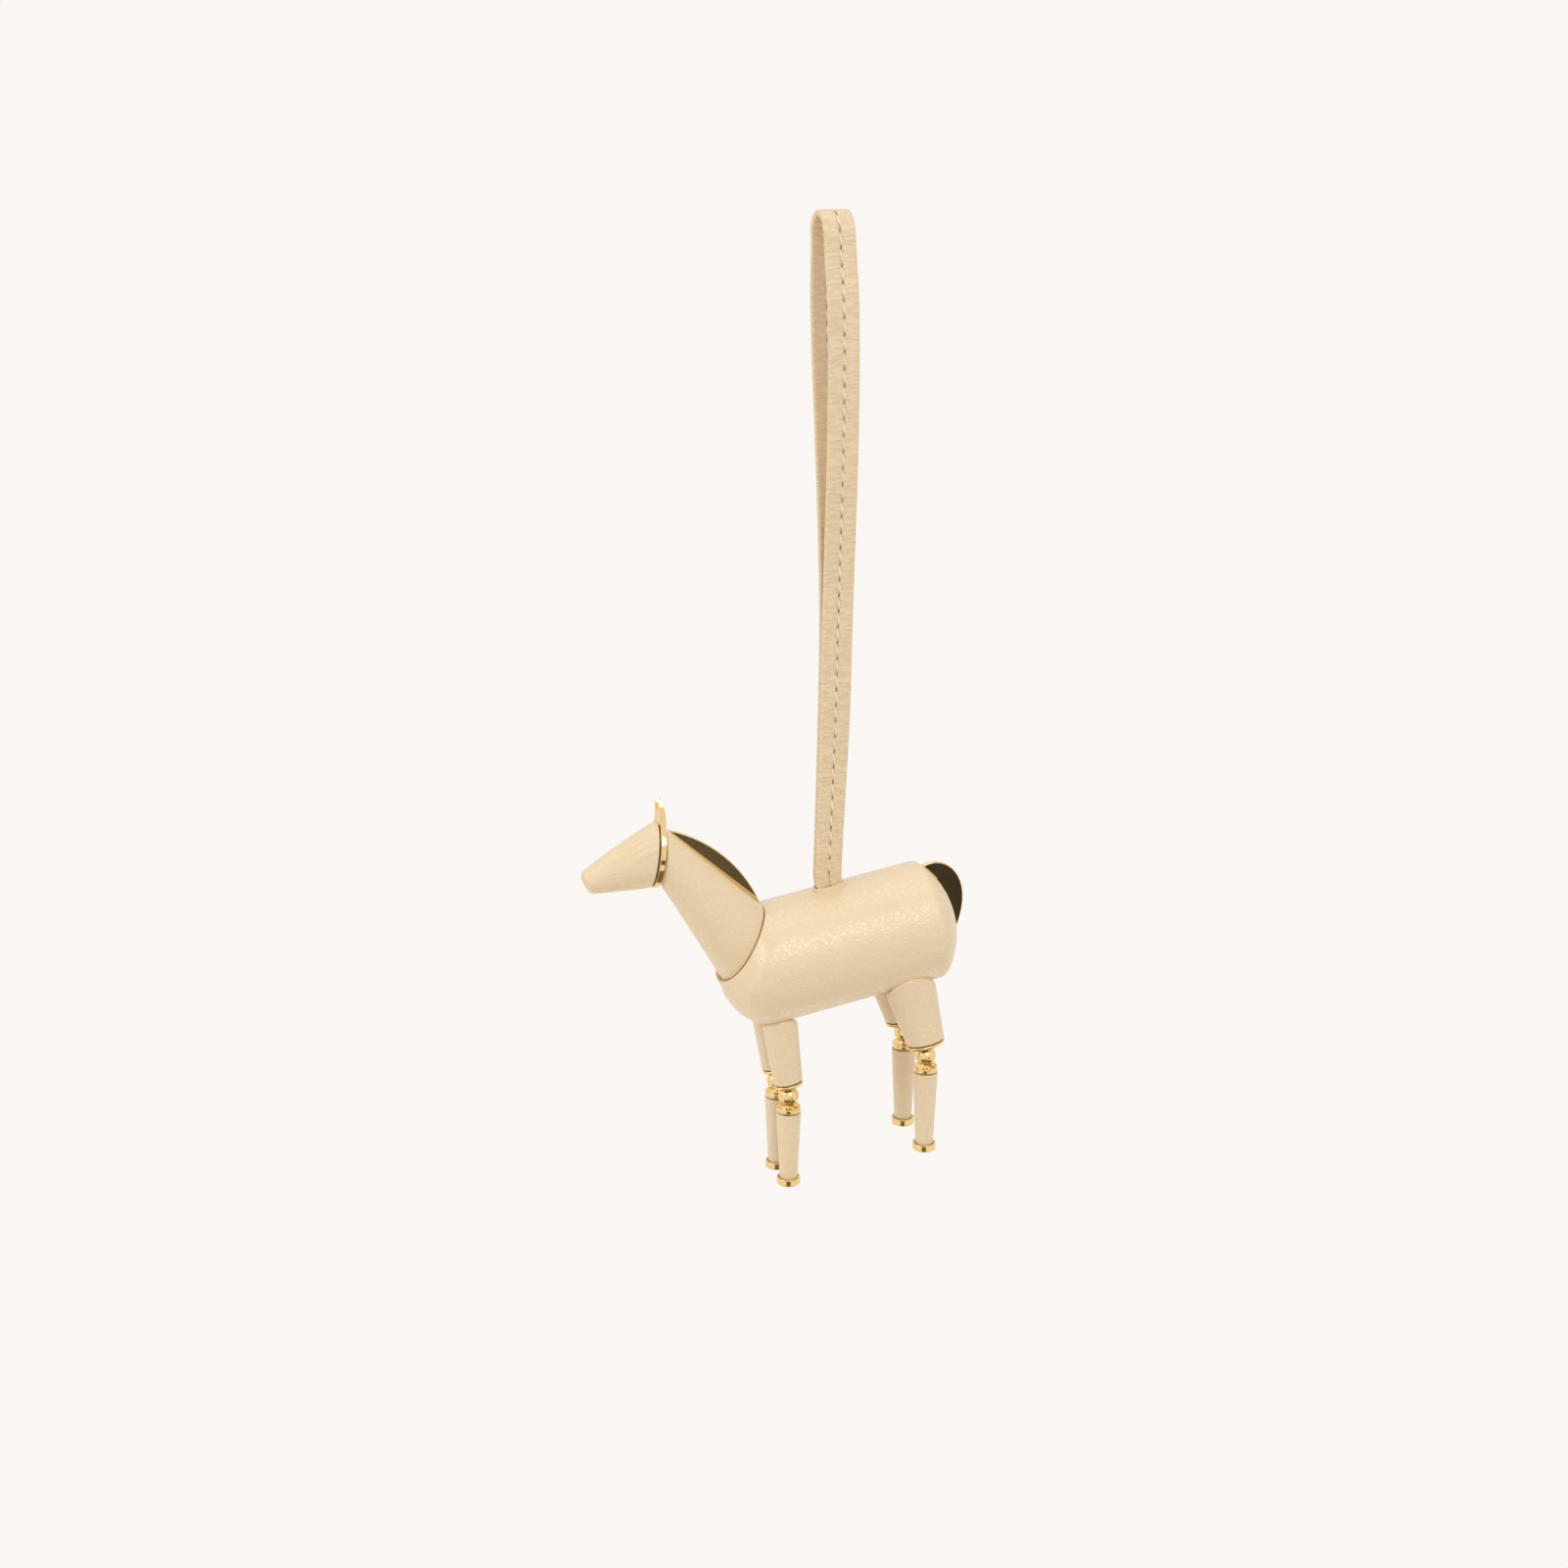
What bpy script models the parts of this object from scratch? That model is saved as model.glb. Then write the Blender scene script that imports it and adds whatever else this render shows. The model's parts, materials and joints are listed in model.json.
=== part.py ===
"""Leather horse charm with gold-tone fittings, hung from a folded leather strap.

Metres, +Z up. The origin is the inside top of the strap loop, where the charm hangs.
The horse faces -X and its left side is -Y. Rest is the hanging pose: the body tips
a little nose-down and the lower legs hang plumb from their ball knees.
"""

from math import acos, asin, atan2, cos, hypot, pi, radians, sin, sqrt, tan

import bmesh
import bpy
from mathutils import Matrix, Vector

# Clearances and leather
GAP = 0.0003
LEATHER = 0.0010
LEG_LEATHER = 0.0007
ROUND_STEPS = 24
LEG_STEPS = 16
SMALL_STEPS = 12
CUT_MARGIN = 0.0100
WELD = 0.000005

# Hanging strap: a folded leather loop, two plies into the slot
STRAP_WIDTH = 0.0075
STRAP_PLY = 0.0018
STRAP_LOOP_RADIUS = 0.0041
STRAP_DROP = 0.1576
STRAP_PLY_SPACE = 0.0006
STRAP_PART_DROP = 0.0150
STRAP_JOIN_DROP = 0.1150
STRAP_END_DEPTH = 0.0080
STRAP_PIN_RADIUS = 0.0008
STRAP_PIN_DEPTH = 0.0050
STRAP_PIN_LENGTH = 0.0120

# Barrel of the body, measured along its axis from the strap slot
PITCH = radians(9.5)
BARREL_RADIUS = 0.0150
BARREL_FRONT = 0.0205
CHEST_DEPTH = 0.0113
BARREL_REAR = 0.0226
RUMP_BULGE = 0.0066

# Slanted seat of the neck: ahead of the barrel's front and below its back
SEAT_AHEAD = 0.0040
SEAT_DROP = 0.0084
SEAT_ANGLE = radians(39.0)

# Neck, between the seat and the ear collar
NECK_BASE_TALL = 0.0108
NECK_BASE_WIDE = 0.0085
NECK_TOP_TALL = 0.0068
NECK_TOP_WIDE = 0.0056
NECK_DOWEL_RADIUS = 0.0020
NECK_DOWEL_REACH = 0.0080

# Ear collar plate between neck and head, ahead of the seat and above it
COLLAR_AHEAD = 0.0165
COLLAR_RISE = 0.0282
COLLAR_LEAN = radians(17.0)
COLLAR_TALL = 0.0083
COLLAR_WIDE = 0.0060
COLLAR_PLATE = 0.0014
EAR_HEIGHT = 0.0054
EAR_SPREAD = 0.0015
EAR_OUTER_BULGE = 0.0012
EAR_OUTER_SHARE = 0.45
EAR_INNER_BULGE = 0.0009
EAR_INNER_SHARE = 0.60

# Head, with its muzzle ahead of the collar and a little below its middle
HEAD_BASE_TALL = 0.0082
HEAD_BASE_WIDE = 0.0057
MUZZLE_AHEAD = 0.0173
MUZZLE_FALL = 0.0026
MUZZLE_LEAN = radians(-14.0)
MUZZLE_TALL = 0.0031
MUZZLE_WIDE = 0.0030
MUZZLE_ROUND = 0.0013
MUZZLE_TURN = radians(64.0)
HEAD_DOWEL_RADIUS = 0.0014
HEAD_DOWEL_REACH = 0.0060
HEAD_DOWEL_ROOT = 0.0040

# Mane and tail plates, flat in the middle plane
PLATE = 0.0012
MANE_STAND = 0.0036
MANE_SEAT = 0.0020
MANE_TOP_SHARE = 0.97
TAIL_TOP_TURN = radians(43.5)
TAIL_TIP_TURN = radians(-9.5)
TAIL_TIP_STAND = 0.0012
TAIL_BOW_TOP = 0.0068
TAIL_BOW_LIFT = 0.0020
TAIL_BOW_TIP = 0.0067
TAIL_BOW_RISE = 0.0115
TAIL_TANG_RISE = 0.0080
TAIL_TANG_HALF = 0.0022
TAIL_TANG_DEPTH = 0.0036

# Upper legs: set in from the barrel's ends and sides, with half sizes along the body and across it
FRONT_SET_BACK = 0.0007
FRONT_SET_IN = 0.0100
FRONT_TOP_LONG = 0.0044
FRONT_TOP_ACROSS = 0.0037
FRONT_FOOT_LONG = 0.0037
FRONT_FOOT_ACROSS = 0.0031
FRONT_DROP = 0.0163
FRONT_RAKE = -0.0005
FRONT_SOLE_DROP = 0.0236
REAR_SET_FORWARD = 0.0087
REAR_SET_IN = 0.0070
REAR_TOP_LONG = 0.0063
REAR_TOP_ACROSS = 0.0039
REAR_FOOT_LONG = 0.0049
REAR_FOOT_ACROSS = 0.0033
REAR_DROP = 0.0145
REAR_RAKE = 0.0015
REAR_SOLE_DROP = 0.0253
CAP_PLATE = 0.0008
LEG_DOWEL_RADIUS = 0.0015
LEG_DOWEL_UP = 0.0060
LEG_DOWEL_DOWN = 0.0040

# Ball knees and lower legs, below the ball's centre
BALL_RADIUS = 0.0025
SOCKET_RADIUS = 0.0014
SOCKET_NECK = 0.00095
STUD_RADIUS = 0.0009
STUD_LENGTH = 0.0060
STEM_RADIUS = 0.00035
PIN_RADIUS = 0.0008
PIN_LENGTH = 0.0060
COLLAR_DROP = 0.00236
KNEE_COLLAR_RADIUS = 0.0030
KNEE_COLLAR_HEIGHT = 0.0017
KNEE_COLLAR_ROUND = 0.0004
SHANK_TOP_RADIUS = 0.0031
SHANK_FOOT_RADIUS = 0.0022
HOOF_WALL = 0.00035
HOOF_HEIGHT = 0.0014
HOOF_FLOOR = 0.0005

# Places worked out from the sizes above
SWING_RADIUS = STRAP_PLY + STRAP_PLY_SPACE / 2
SWING_RISE = (SWING_RADIUS + GAP) / cos(PITCH) + STRAP_WIDTH / 2 * tan(PITCH)
SEAT_NORMAL = Vector((-cos(SEAT_ANGLE), 0, sin(SEAT_ANGLE)))
SEAT_UP = Vector((sin(SEAT_ANGLE), 0, cos(SEAT_ANGLE)))
SEAT_CENTRE = Vector((-BARREL_FRONT - SEAT_AHEAD, 0, BARREL_RADIUS - SEAT_DROP))
COLLAR_UP = Vector((sin(COLLAR_LEAN), 0, cos(COLLAR_LEAN)))
COLLAR_NORMAL = Vector((-cos(COLLAR_LEAN), 0, sin(COLLAR_LEAN)))
COLLAR_CENTRE = SEAT_CENTRE + Vector((-COLLAR_AHEAD, 0, COLLAR_RISE))
MUZZLE_UP = Vector((sin(MUZZLE_LEAN), 0, cos(MUZZLE_LEAN)))
MUZZLE_CENTRE = COLLAR_CENTRE + Vector((-MUZZLE_AHEAD, 0, -MUZZLE_FALL))
RUMP_RADIUS = (BARREL_RADIUS ** 2 + RUMP_BULGE ** 2) / (2 * RUMP_BULGE)
RUMP_CENTRE = BARREL_REAR + RUMP_BULGE - RUMP_RADIUS
PLUMB = Vector((-sin(PITCH), 0, -cos(PITCH)))
ACROSS = Vector((0, 1, 0))
NECK_TOP = COLLAR_CENTRE - COLLAR_NORMAL * (COLLAR_PLATE / 2 + GAP)
HEAD_BASE = COLLAR_CENTRE + COLLAR_NORMAL * (COLLAR_PLATE / 2 + GAP)

FRONT_LEG = {
    "x": FRONT_SET_BACK - BARREL_FRONT, "y": BARREL_RADIUS - FRONT_SET_IN, "rake": FRONT_RAKE,
    "cap_z": -BARREL_RADIUS - FRONT_DROP, "sole": FRONT_SOLE_DROP,
    "top": (FRONT_TOP_LONG, FRONT_TOP_ACROSS), "foot": (FRONT_FOOT_LONG, FRONT_FOOT_ACROSS),
}
REAR_LEG = {
    "x": BARREL_REAR - REAR_SET_FORWARD, "y": BARREL_RADIUS - REAR_SET_IN, "rake": REAR_RAKE,
    "cap_z": -BARREL_RADIUS - REAR_DROP, "sole": REAR_SOLE_DROP,
    "top": (REAR_TOP_LONG, REAR_TOP_ACROSS), "foot": (REAR_FOOT_LONG, REAR_FOOT_ACROSS),
}
LEGS = (("front_left", FRONT_LEG, -1), ("front_right", FRONT_LEG, 1),
        ("rear_left", REAR_LEG, -1), ("rear_right", REAR_LEG, 1))


def clear_scene():
    for old in list(bpy.data.objects):
        bpy.data.objects.remove(old, do_unlink=True)


def new_collection(name):
    collection = bpy.data.collections.new(name)
    bpy.context.scene.collection.children.link(collection)
    return collection


clear_scene()
PARTS = new_collection("horse_charm")
CUTTERS = new_collection("cutters")


def material(name, colour, roughness, metallic):
    made = bpy.data.materials.new(name)
    made.use_nodes = True
    shader = made.node_tree.nodes["Principled BSDF"]
    shader.inputs["Base Color"].default_value = (*colour, 1)
    shader.inputs["Roughness"].default_value = roughness
    shader.inputs["Metallic"].default_value = metallic
    return made


CREAM_LEATHER = material("cream_leather", (0.78, 0.64, 0.41), 0.45, 0.0)
GOLD_BRASS = material("gold_brass", (0.83, 0.60, 0.26), 0.10, 1.0)
CORE_WOOD = material("core_wood", (0.50, 0.35, 0.20), 0.70, 0.0)


def empty(name, parent=None, location=(0, 0, 0), pitch=0.0):
    made = bpy.data.objects.new(name, None)
    PARTS.objects.link(made)
    made.parent = parent
    made.location = location
    made.rotation_euler = (0, pitch, 0)
    return made


def place(name, data, finish, parent, collection=PARTS):
    made = bpy.data.objects.new(name, data)
    collection.objects.link(made)
    made.parent = parent
    if finish is None:
        made.hide_render = True
        made.display_type = "WIRE"
    else:
        data.materials.append(finish)
    return made


def turned(name, profile, finish, parent, steps=ROUND_STEPS):
    """Turn a profile of (radius, height) points about Z. It runs from the top axis point outwards
    and down to the bottom one, or is a closed ring when it does not touch the axis."""
    mesh = bpy.data.meshes.new(name)
    points = [(radius, 0, height) for radius, height in profile]
    edges = [(i, i + 1) for i in range(len(points) - 1)]
    if profile[0][0] > 0:
        edges.append((len(points) - 1, 0))
    mesh.from_pydata(points, edges, [])
    made = place(name, mesh, finish, parent, PARTS if finish else CUTTERS)
    screw = made.modifiers.new("turn", "SCREW")
    screw.steps = steps
    screw.render_steps = steps
    screw.use_merge_vertices = True
    screw.merge_threshold = WELD
    screw.use_smooth_shade = True
    return made


def ellipse_ring(bm, centre, up, half_up, half_across, steps):
    """A ring of vertices round an ellipse in the plane of up and across."""
    ring = []
    for i in range(steps):
        angle = 2 * pi * i / steps
        ring.append(bm.verts.new(centre + up * (half_up * cos(angle)) + ACROSS * (half_across * sin(angle))))
    return ring


def bridge(bm, one, two):
    count = len(one)
    for i in range(count):
        bm.faces.new((one[i], one[(i + 1) % count], two[(i + 1) % count], two[i]))


def loft(name, sections, finish, parent, wall=None, steps=ROUND_STEPS):
    """Skin a row of ellipses (centre, up, half_up, half_across). With a wall it is a sleeve
    that is open at the first section and, if the last one is a rounded end, closed there."""
    bm = bmesh.new()
    outer = [ellipse_ring(bm, *section, steps) for section in sections]
    for one, two in zip(outer, outer[1:]):
        bridge(bm, one, two)
    if wall is None:
        bm.faces.new(reversed(outer[0]))
        bm.faces.new(outer[-1])
    else:
        thin = [(c, u, a - wall, b - wall) for c, u, a, b in sections]
        inner = [ellipse_ring(bm, *section, steps) for section in thin]
        for one, two in zip(inner, inner[1:]):
            bridge(bm, two, one)
        bridge(bm, inner[0], outer[0])
        bridge(bm, outer[-1], inner[-1])
    bmesh.ops.recalc_face_normals(bm, faces=bm.faces)
    mesh = bpy.data.meshes.new(name)
    bm.to_mesh(mesh)
    bm.free()
    mesh.shade_smooth()
    mesh.set_sharp_from_angle(angle=radians(40))
    return place(name, mesh, finish, parent, PARTS if finish else CUTTERS)


def plate(name, outlines, thickness, finish, parent):
    """A flat plate from closed outlines in the curve's own XY plane."""
    curve = bpy.data.curves.new(name, "CURVE")
    curve.dimensions = "2D"
    curve.fill_mode = "BOTH"
    curve.extrude = thickness / 2
    for outline in outlines:
        spline = curve.splines.new("POLY")
        spline.points.add(len(outline) - 1)
        for point, (x, y) in zip(spline.points, outline):
            point.co = (x, y, 0, 1)
        spline.use_cyclic_u = True
    made = place(name, curve, finish, parent, PARTS if finish else CUTTERS)
    return as_mesh(made)


def as_mesh(curve_object):
    """Make a curve object a mesh with welded caps, so that it can be cut or cut others."""
    name = curve_object.name
    finish = curve_object.data.materials[0] if curve_object.data.materials else None
    graph = bpy.context.evaluated_depsgraph_get()
    mesh = bpy.data.meshes.new_from_object(curve_object.evaluated_get(graph))
    bm = bmesh.new()
    bm.from_mesh(mesh)
    bmesh.ops.remove_doubles(bm, verts=bm.verts, dist=WELD)
    bmesh.ops.recalc_face_normals(bm, faces=bm.faces)
    bm.to_mesh(mesh)
    bm.free()
    mesh.materials.clear()
    parent = curve_object.parent
    bpy.data.objects.remove(curve_object, do_unlink=True)
    return place(name, mesh, finish, parent, PARTS if finish else CUTTERS)


def block(name, size, centre, parent, rotation=(0, 0, 0), finish=None):
    bm = bmesh.new()
    bmesh.ops.create_cube(bm, size=1, matrix=Matrix.Diagonal((*size, 1)))
    mesh = bpy.data.meshes.new(name)
    bm.to_mesh(mesh)
    bm.free()
    made = place(name, mesh, finish, parent, PARTS if finish else CUTTERS)
    made.location = centre
    made.rotation_euler = rotation
    return made


def rod(name, radius, start, end, parent, finish=None, steps=SMALL_STEPS):
    """A round rod between two points."""
    start = Vector(start)
    end = Vector(end)
    bm = bmesh.new()
    bmesh.ops.create_cone(bm, cap_ends=True, segments=steps, radius1=radius, radius2=radius,
                          depth=(end - start).length)
    mesh = bpy.data.meshes.new(name)
    bm.to_mesh(mesh)
    bm.free()
    mesh.shade_smooth()
    mesh.set_sharp_from_angle(angle=radians(40))
    made = place(name, mesh, finish, parent, PARTS if finish else CUTTERS)
    made.location = (start + end) / 2
    made.rotation_euler = (end - start).to_track_quat("Z", "Y").to_euler()
    return made


def boolean(target, tool, operation="DIFFERENCE"):
    cut = target.modifiers.new(tool.name, "BOOLEAN")
    cut.operation = operation
    cut.object = tool
    cut.solver = "EXACT"


def arc(radius, centre, start, end, count):
    """Points of an arc from one angle to another, both included."""
    turn = (end - start) / (count - 1)
    return [(centre[0] + radius * cos(start + turn * i), centre[1] + radius * sin(start + turn * i))
            for i in range(count)]


def arc_through(one, two, three, count):
    """Points of the arc that runs from one through two to three."""
    (ax, ay), (bx, by), (cx, cy) = one, two, three
    d = 2 * (ax * (by - cy) + bx * (cy - ay) + cx * (ay - by))
    sa, sb, sc = ax * ax + ay * ay, bx * bx + by * by, cx * cx + cy * cy
    ux = (sa * (by - cy) + sb * (cy - ay) + sc * (ay - by)) / d
    uy = (sa * (cx - bx) + sb * (ax - cx) + sc * (bx - ax)) / d
    start = atan2(ay - uy, ax - ux)
    middle = (atan2(by - uy, bx - ux) - start) % (2 * pi)
    end = (atan2(cy - uy, cx - ux) - start) % (2 * pi)
    if middle > end:
        end -= 2 * pi
    return arc(hypot(ax - ux, ay - uy), (ux, uy), start, start + end, count)


def bezier(one, two, three, four, count):
    """Points of a cubic curve from one to four, drawn towards two and three."""
    points = []
    for i in range(count):
        t = i / (count - 1)
        u = 1 - t
        pulls = ((u ** 3, one), (3 * u * u * t, two), (3 * u * t * t, three), (t ** 3, four))
        points.append((sum(w * p[0] for w, p in pulls), sum(w * p[1] for w, p in pulls)))
    return points


def strap_outline(grow):
    """The loop's outline in its own plane: grow is 0 for the inside face and a ply for the outside."""
    closed = STRAP_PLY_SPACE / 2
    count = 11
    side = []
    for i in range(count + 1):
        share = i / count
        opening = (1 + cos(pi * share)) / 2
        drop = STRAP_PART_DROP + (STRAP_JOIN_DROP - STRAP_PART_DROP) * share
        side.append((closed + (STRAP_LOOP_RADIUS - closed) * opening + grow, -drop))
    top = arc(STRAP_LOOP_RADIUS + grow, (0, -STRAP_LOOP_RADIUS), pi, 0, 15)
    if grow:
        foot = arc(closed + grow, (0, -STRAP_DROP), 0, -pi, 11)
    else:
        foot = []
    return top + side + foot + [(-y, z) for y, z in reversed(side)]


def build_strap():
    """The loop lies across the body: its width runs along X, its two legs part along Y."""
    strap = plate("strap", (strap_outline(STRAP_PLY), strap_outline(0)), STRAP_WIDTH, CREAM_LEATHER, None)
    strap.rotation_euler = (pi / 2, 0, pi / 2)


def build_strap_ends(barrel):
    """Both plies run down into the slot and are held by a cross pin in the core."""
    top = BARREL_RADIUS
    half = STRAP_PIN_LENGTH / 2
    level = top - STRAP_PIN_DEPTH
    rod("strap_pin", STRAP_PIN_RADIUS, (0, -half, level), (0, half, level), barrel, GOLD_BRASS)
    room = half + GAP
    hole = rod("strap_pin_hole", STRAP_PIN_RADIUS + GAP, (0, -room, level), (0, room, level), barrel)
    for side_name, side in (("left", -1), ("right", 1)):
        offset = side * (STRAP_PLY_SPACE + STRAP_PLY) / 2
        end = block("strap_end_" + side_name, (STRAP_WIDTH, STRAP_PLY, STRAP_END_DEPTH),
                    (0, offset, top - STRAP_END_DEPTH / 2), barrel, finish=CREAM_LEATHER)
        boolean(end, hole)
    slot_height = STRAP_END_DEPTH + CUT_MARGIN
    slot = block("strap_slot", (STRAP_WIDTH + 2 * GAP, 2 * SWING_RADIUS + 2 * GAP, slot_height),
                 (0, 0, top - STRAP_END_DEPTH - GAP + slot_height / 2), barrel)
    return slot, hole


def barrel_form(name, inset, finish, barrel, rear=None):
    """The barrel turned about its own axis, drawn in by an inset, with its domed chest to the front.
    Its rear is flat at the given place, or else domed like the rump."""
    radius = BARREL_RADIUS - inset
    depth = CHEST_DEPTH - inset
    count = 9
    profile = [(0, BARREL_FRONT + depth)]
    for i in range(1, count + 1):
        angle = pi / 2 * (1 - i / count)
        profile.append((radius * cos(angle), BARREL_FRONT + depth * sin(angle)))
    if rear is None:
        dome = RUMP_RADIUS - inset
        edge = asin(radius / dome)
        profile += [(x, z - RUMP_CENTRE) for x, z in arc(dome, (0, 0), edge - pi / 2, -pi / 2, 6)[:-1]]
        rear = RUMP_CENTRE + dome
    else:
        profile.append((radius, -rear))
    profile.append((0, -rear))
    form = turned(name, profile, finish, barrel)
    form.rotation_euler = (0, -pi / 2, 0)
    return form


def face_cutter(name, centre, normal, parent):
    """A large block whose one face lies on a plane and which takes away what is beyond it."""
    size = 4 * BARREL_RADIUS
    made = block(name, (size, size, size), centre + normal * (size / 2), parent)
    made.rotation_euler = normal.to_track_quat("Z", "Y").to_euler()
    return made


def build_barrel(barrel, slot, pin_hole):
    """Leather skin over a core, cut slanting at the neck seat."""
    skin = barrel_form("barrel_skin", 0, CREAM_LEATHER, barrel, BARREL_REAR)
    boolean(skin, face_cutter("seat_cut_skin", SEAT_CENTRE, SEAT_NORMAL, barrel))
    hollow = barrel_form("barrel_hollow", LEATHER, None, barrel, BARREL_REAR + CUT_MARGIN)
    boolean(hollow, face_cutter("seat_cut_hollow", SEAT_CENTRE - SEAT_NORMAL * LEATHER, SEAT_NORMAL, barrel))
    boolean(skin, hollow)
    core = barrel_form("barrel_core", LEATHER + GAP, CORE_WOOD, barrel)
    inside = SEAT_CENTRE - SEAT_NORMAL * (LEATHER + GAP)
    boolean(core, face_cutter("seat_cut_core", inside, SEAT_NORMAL, barrel))
    for piece in (skin, core):
        boolean(piece, slot)
    boolean(core, pin_hole)
    return skin, core


def build_rump(barrel):
    """A domed leather cover over the rear of the core."""
    rim = BARREL_REAR + GAP
    inner = RUMP_RADIUS - LEATHER
    outer_edge = acos((rim - RUMP_CENTRE) / RUMP_RADIUS)
    inner_edge = acos((rim - RUMP_CENTRE) / inner)
    count = 7
    outside = [(RUMP_RADIUS * sin(outer_edge * i / count), RUMP_RADIUS * cos(outer_edge * i / count))
               for i in range(count + 1)]
    inside = [(inner * sin(inner_edge * i / count), inner * cos(inner_edge * i / count))
              for i in range(count, -1, -1)]
    rump = turned("rump_cover", outside + inside, CREAM_LEATHER, barrel)
    rump.location = (RUMP_CENTRE, 0, 0)
    rump.rotation_euler = (0, pi / 2, 0)
    return rump


def between(one, two, share):
    return one + (two - one) * share


def neck_sections(inset):
    """Ellipses from the slanted seat to the collar, evenly turned from one plane to the other."""
    base = SEAT_CENTRE + SEAT_NORMAL * GAP
    sections = []
    for i in range(6):
        share = i / 5
        up = between(SEAT_UP, COLLAR_UP, share).normalized()
        tall = between(NECK_BASE_TALL, NECK_TOP_TALL, share) - inset
        wide = between(NECK_BASE_WIDE, NECK_TOP_WIDE, share) - inset
        sections.append((between(base, NECK_TOP, share), up, tall, wide))
    return sections


def build_neck(barrel, barrel_skin, barrel_core):
    skin = loft("neck_skin", neck_sections(0), CREAM_LEATHER, barrel, wall=LEATHER)
    core = loft("neck_core", neck_sections(LEATHER + GAP), CORE_WOOD, barrel)
    reach = SEAT_NORMAL * NECK_DOWEL_REACH
    rod("neck_dowel", NECK_DOWEL_RADIUS, SEAT_CENTRE - reach, SEAT_CENTRE + reach, barrel, CORE_WOOD)
    room = SEAT_NORMAL * (NECK_DOWEL_REACH + GAP)
    hole = rod("neck_dowel_hole", NECK_DOWEL_RADIUS + GAP, SEAT_CENTRE - room, SEAT_CENTRE + room, barrel)
    for piece in (barrel_skin, barrel_core, core):
        boolean(piece, hole)
    return skin, core


def build_mane(barrel, neck_skin, neck_core):
    """A bowed plate let into the crest of the neck."""
    low = SEAT_CENTRE + SEAT_NORMAL * GAP + SEAT_UP * NECK_BASE_TALL
    high = between(low, NECK_TOP + COLLAR_UP * NECK_TOP_TALL, MANE_TOP_SHARE)
    along = (high - low).normalized()
    out = Vector((-along.z, 0, along.x))
    if out.x < 0:
        out = -out
    low = low + along * (2 * GAP)

    def flat(point):
        return point.x, point.z

    def outline(depth):
        bow = arc_through(flat(low), flat(between(low, high, 0.5) + out * MANE_STAND), flat(high), 15)
        return bow + [flat(high - out * depth), flat(low + along * (MANE_SEAT + LEATHER) - out * depth)]

    mane = plate("mane_plate", (outline(MANE_SEAT),), PLATE, GOLD_BRASS, barrel)
    groove = plate("mane_groove", (outline(MANE_SEAT + GAP),), PLATE + 2 * GAP, None, barrel)
    for piece in (mane, groove):
        piece.rotation_euler = (pi / 2, 0, 0)
    boolean(neck_skin, groove)
    boolean(neck_core, groove)


def build_tail(barrel, rump, core):
    """A crescent plate that hugs the rump. Its tang goes through the cover into the core."""
    seat = RUMP_RADIUS + GAP
    inner = arc(seat, (RUMP_CENTRE, 0), TAIL_TIP_TURN, TAIL_TOP_TURN, 15)
    top_x, top_z = inner[-1]
    tip_x, tip_z = arc(seat + TAIL_TIP_STAND, (RUMP_CENTRE, 0), TAIL_TIP_TURN, TAIL_TOP_TURN, 15)[0]
    back = bezier((top_x, top_z), (top_x + TAIL_BOW_TOP, top_z + TAIL_BOW_LIFT),
                  (tip_x + TAIL_BOW_TIP, tip_z + TAIL_BOW_RISE), (tip_x, tip_z), 17)
    low = TAIL_TANG_RISE - TAIL_TANG_HALF
    high = TAIL_TANG_RISE + TAIL_TANG_HALF
    reach = BARREL_REAR - TAIL_TANG_DEPTH
    below = [point for point in inner[:-1] if point[1] < low]
    above = [point for point in inner[:-1] if point[1] > high]
    root = [(RUMP_CENTRE + sqrt(seat ** 2 - z ** 2), z) for z in (low, high)]
    tang = [root[0], (reach, low), (reach, high), root[1]]
    tail = plate("tail_plate", (back + below + tang + above,), PLATE, GOLD_BRASS, barrel)
    tail.rotation_euler = (pi / 2, 0, 0)
    length = CUT_MARGIN + RUMP_BULGE
    slit = block("tail_slit", (length, PLATE + 2 * GAP, high - low + 2 * GAP),
                 (reach - GAP + length / 2, 0, TAIL_TANG_RISE), barrel)
    boolean(rump, slit)
    boolean(core, slit)


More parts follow.
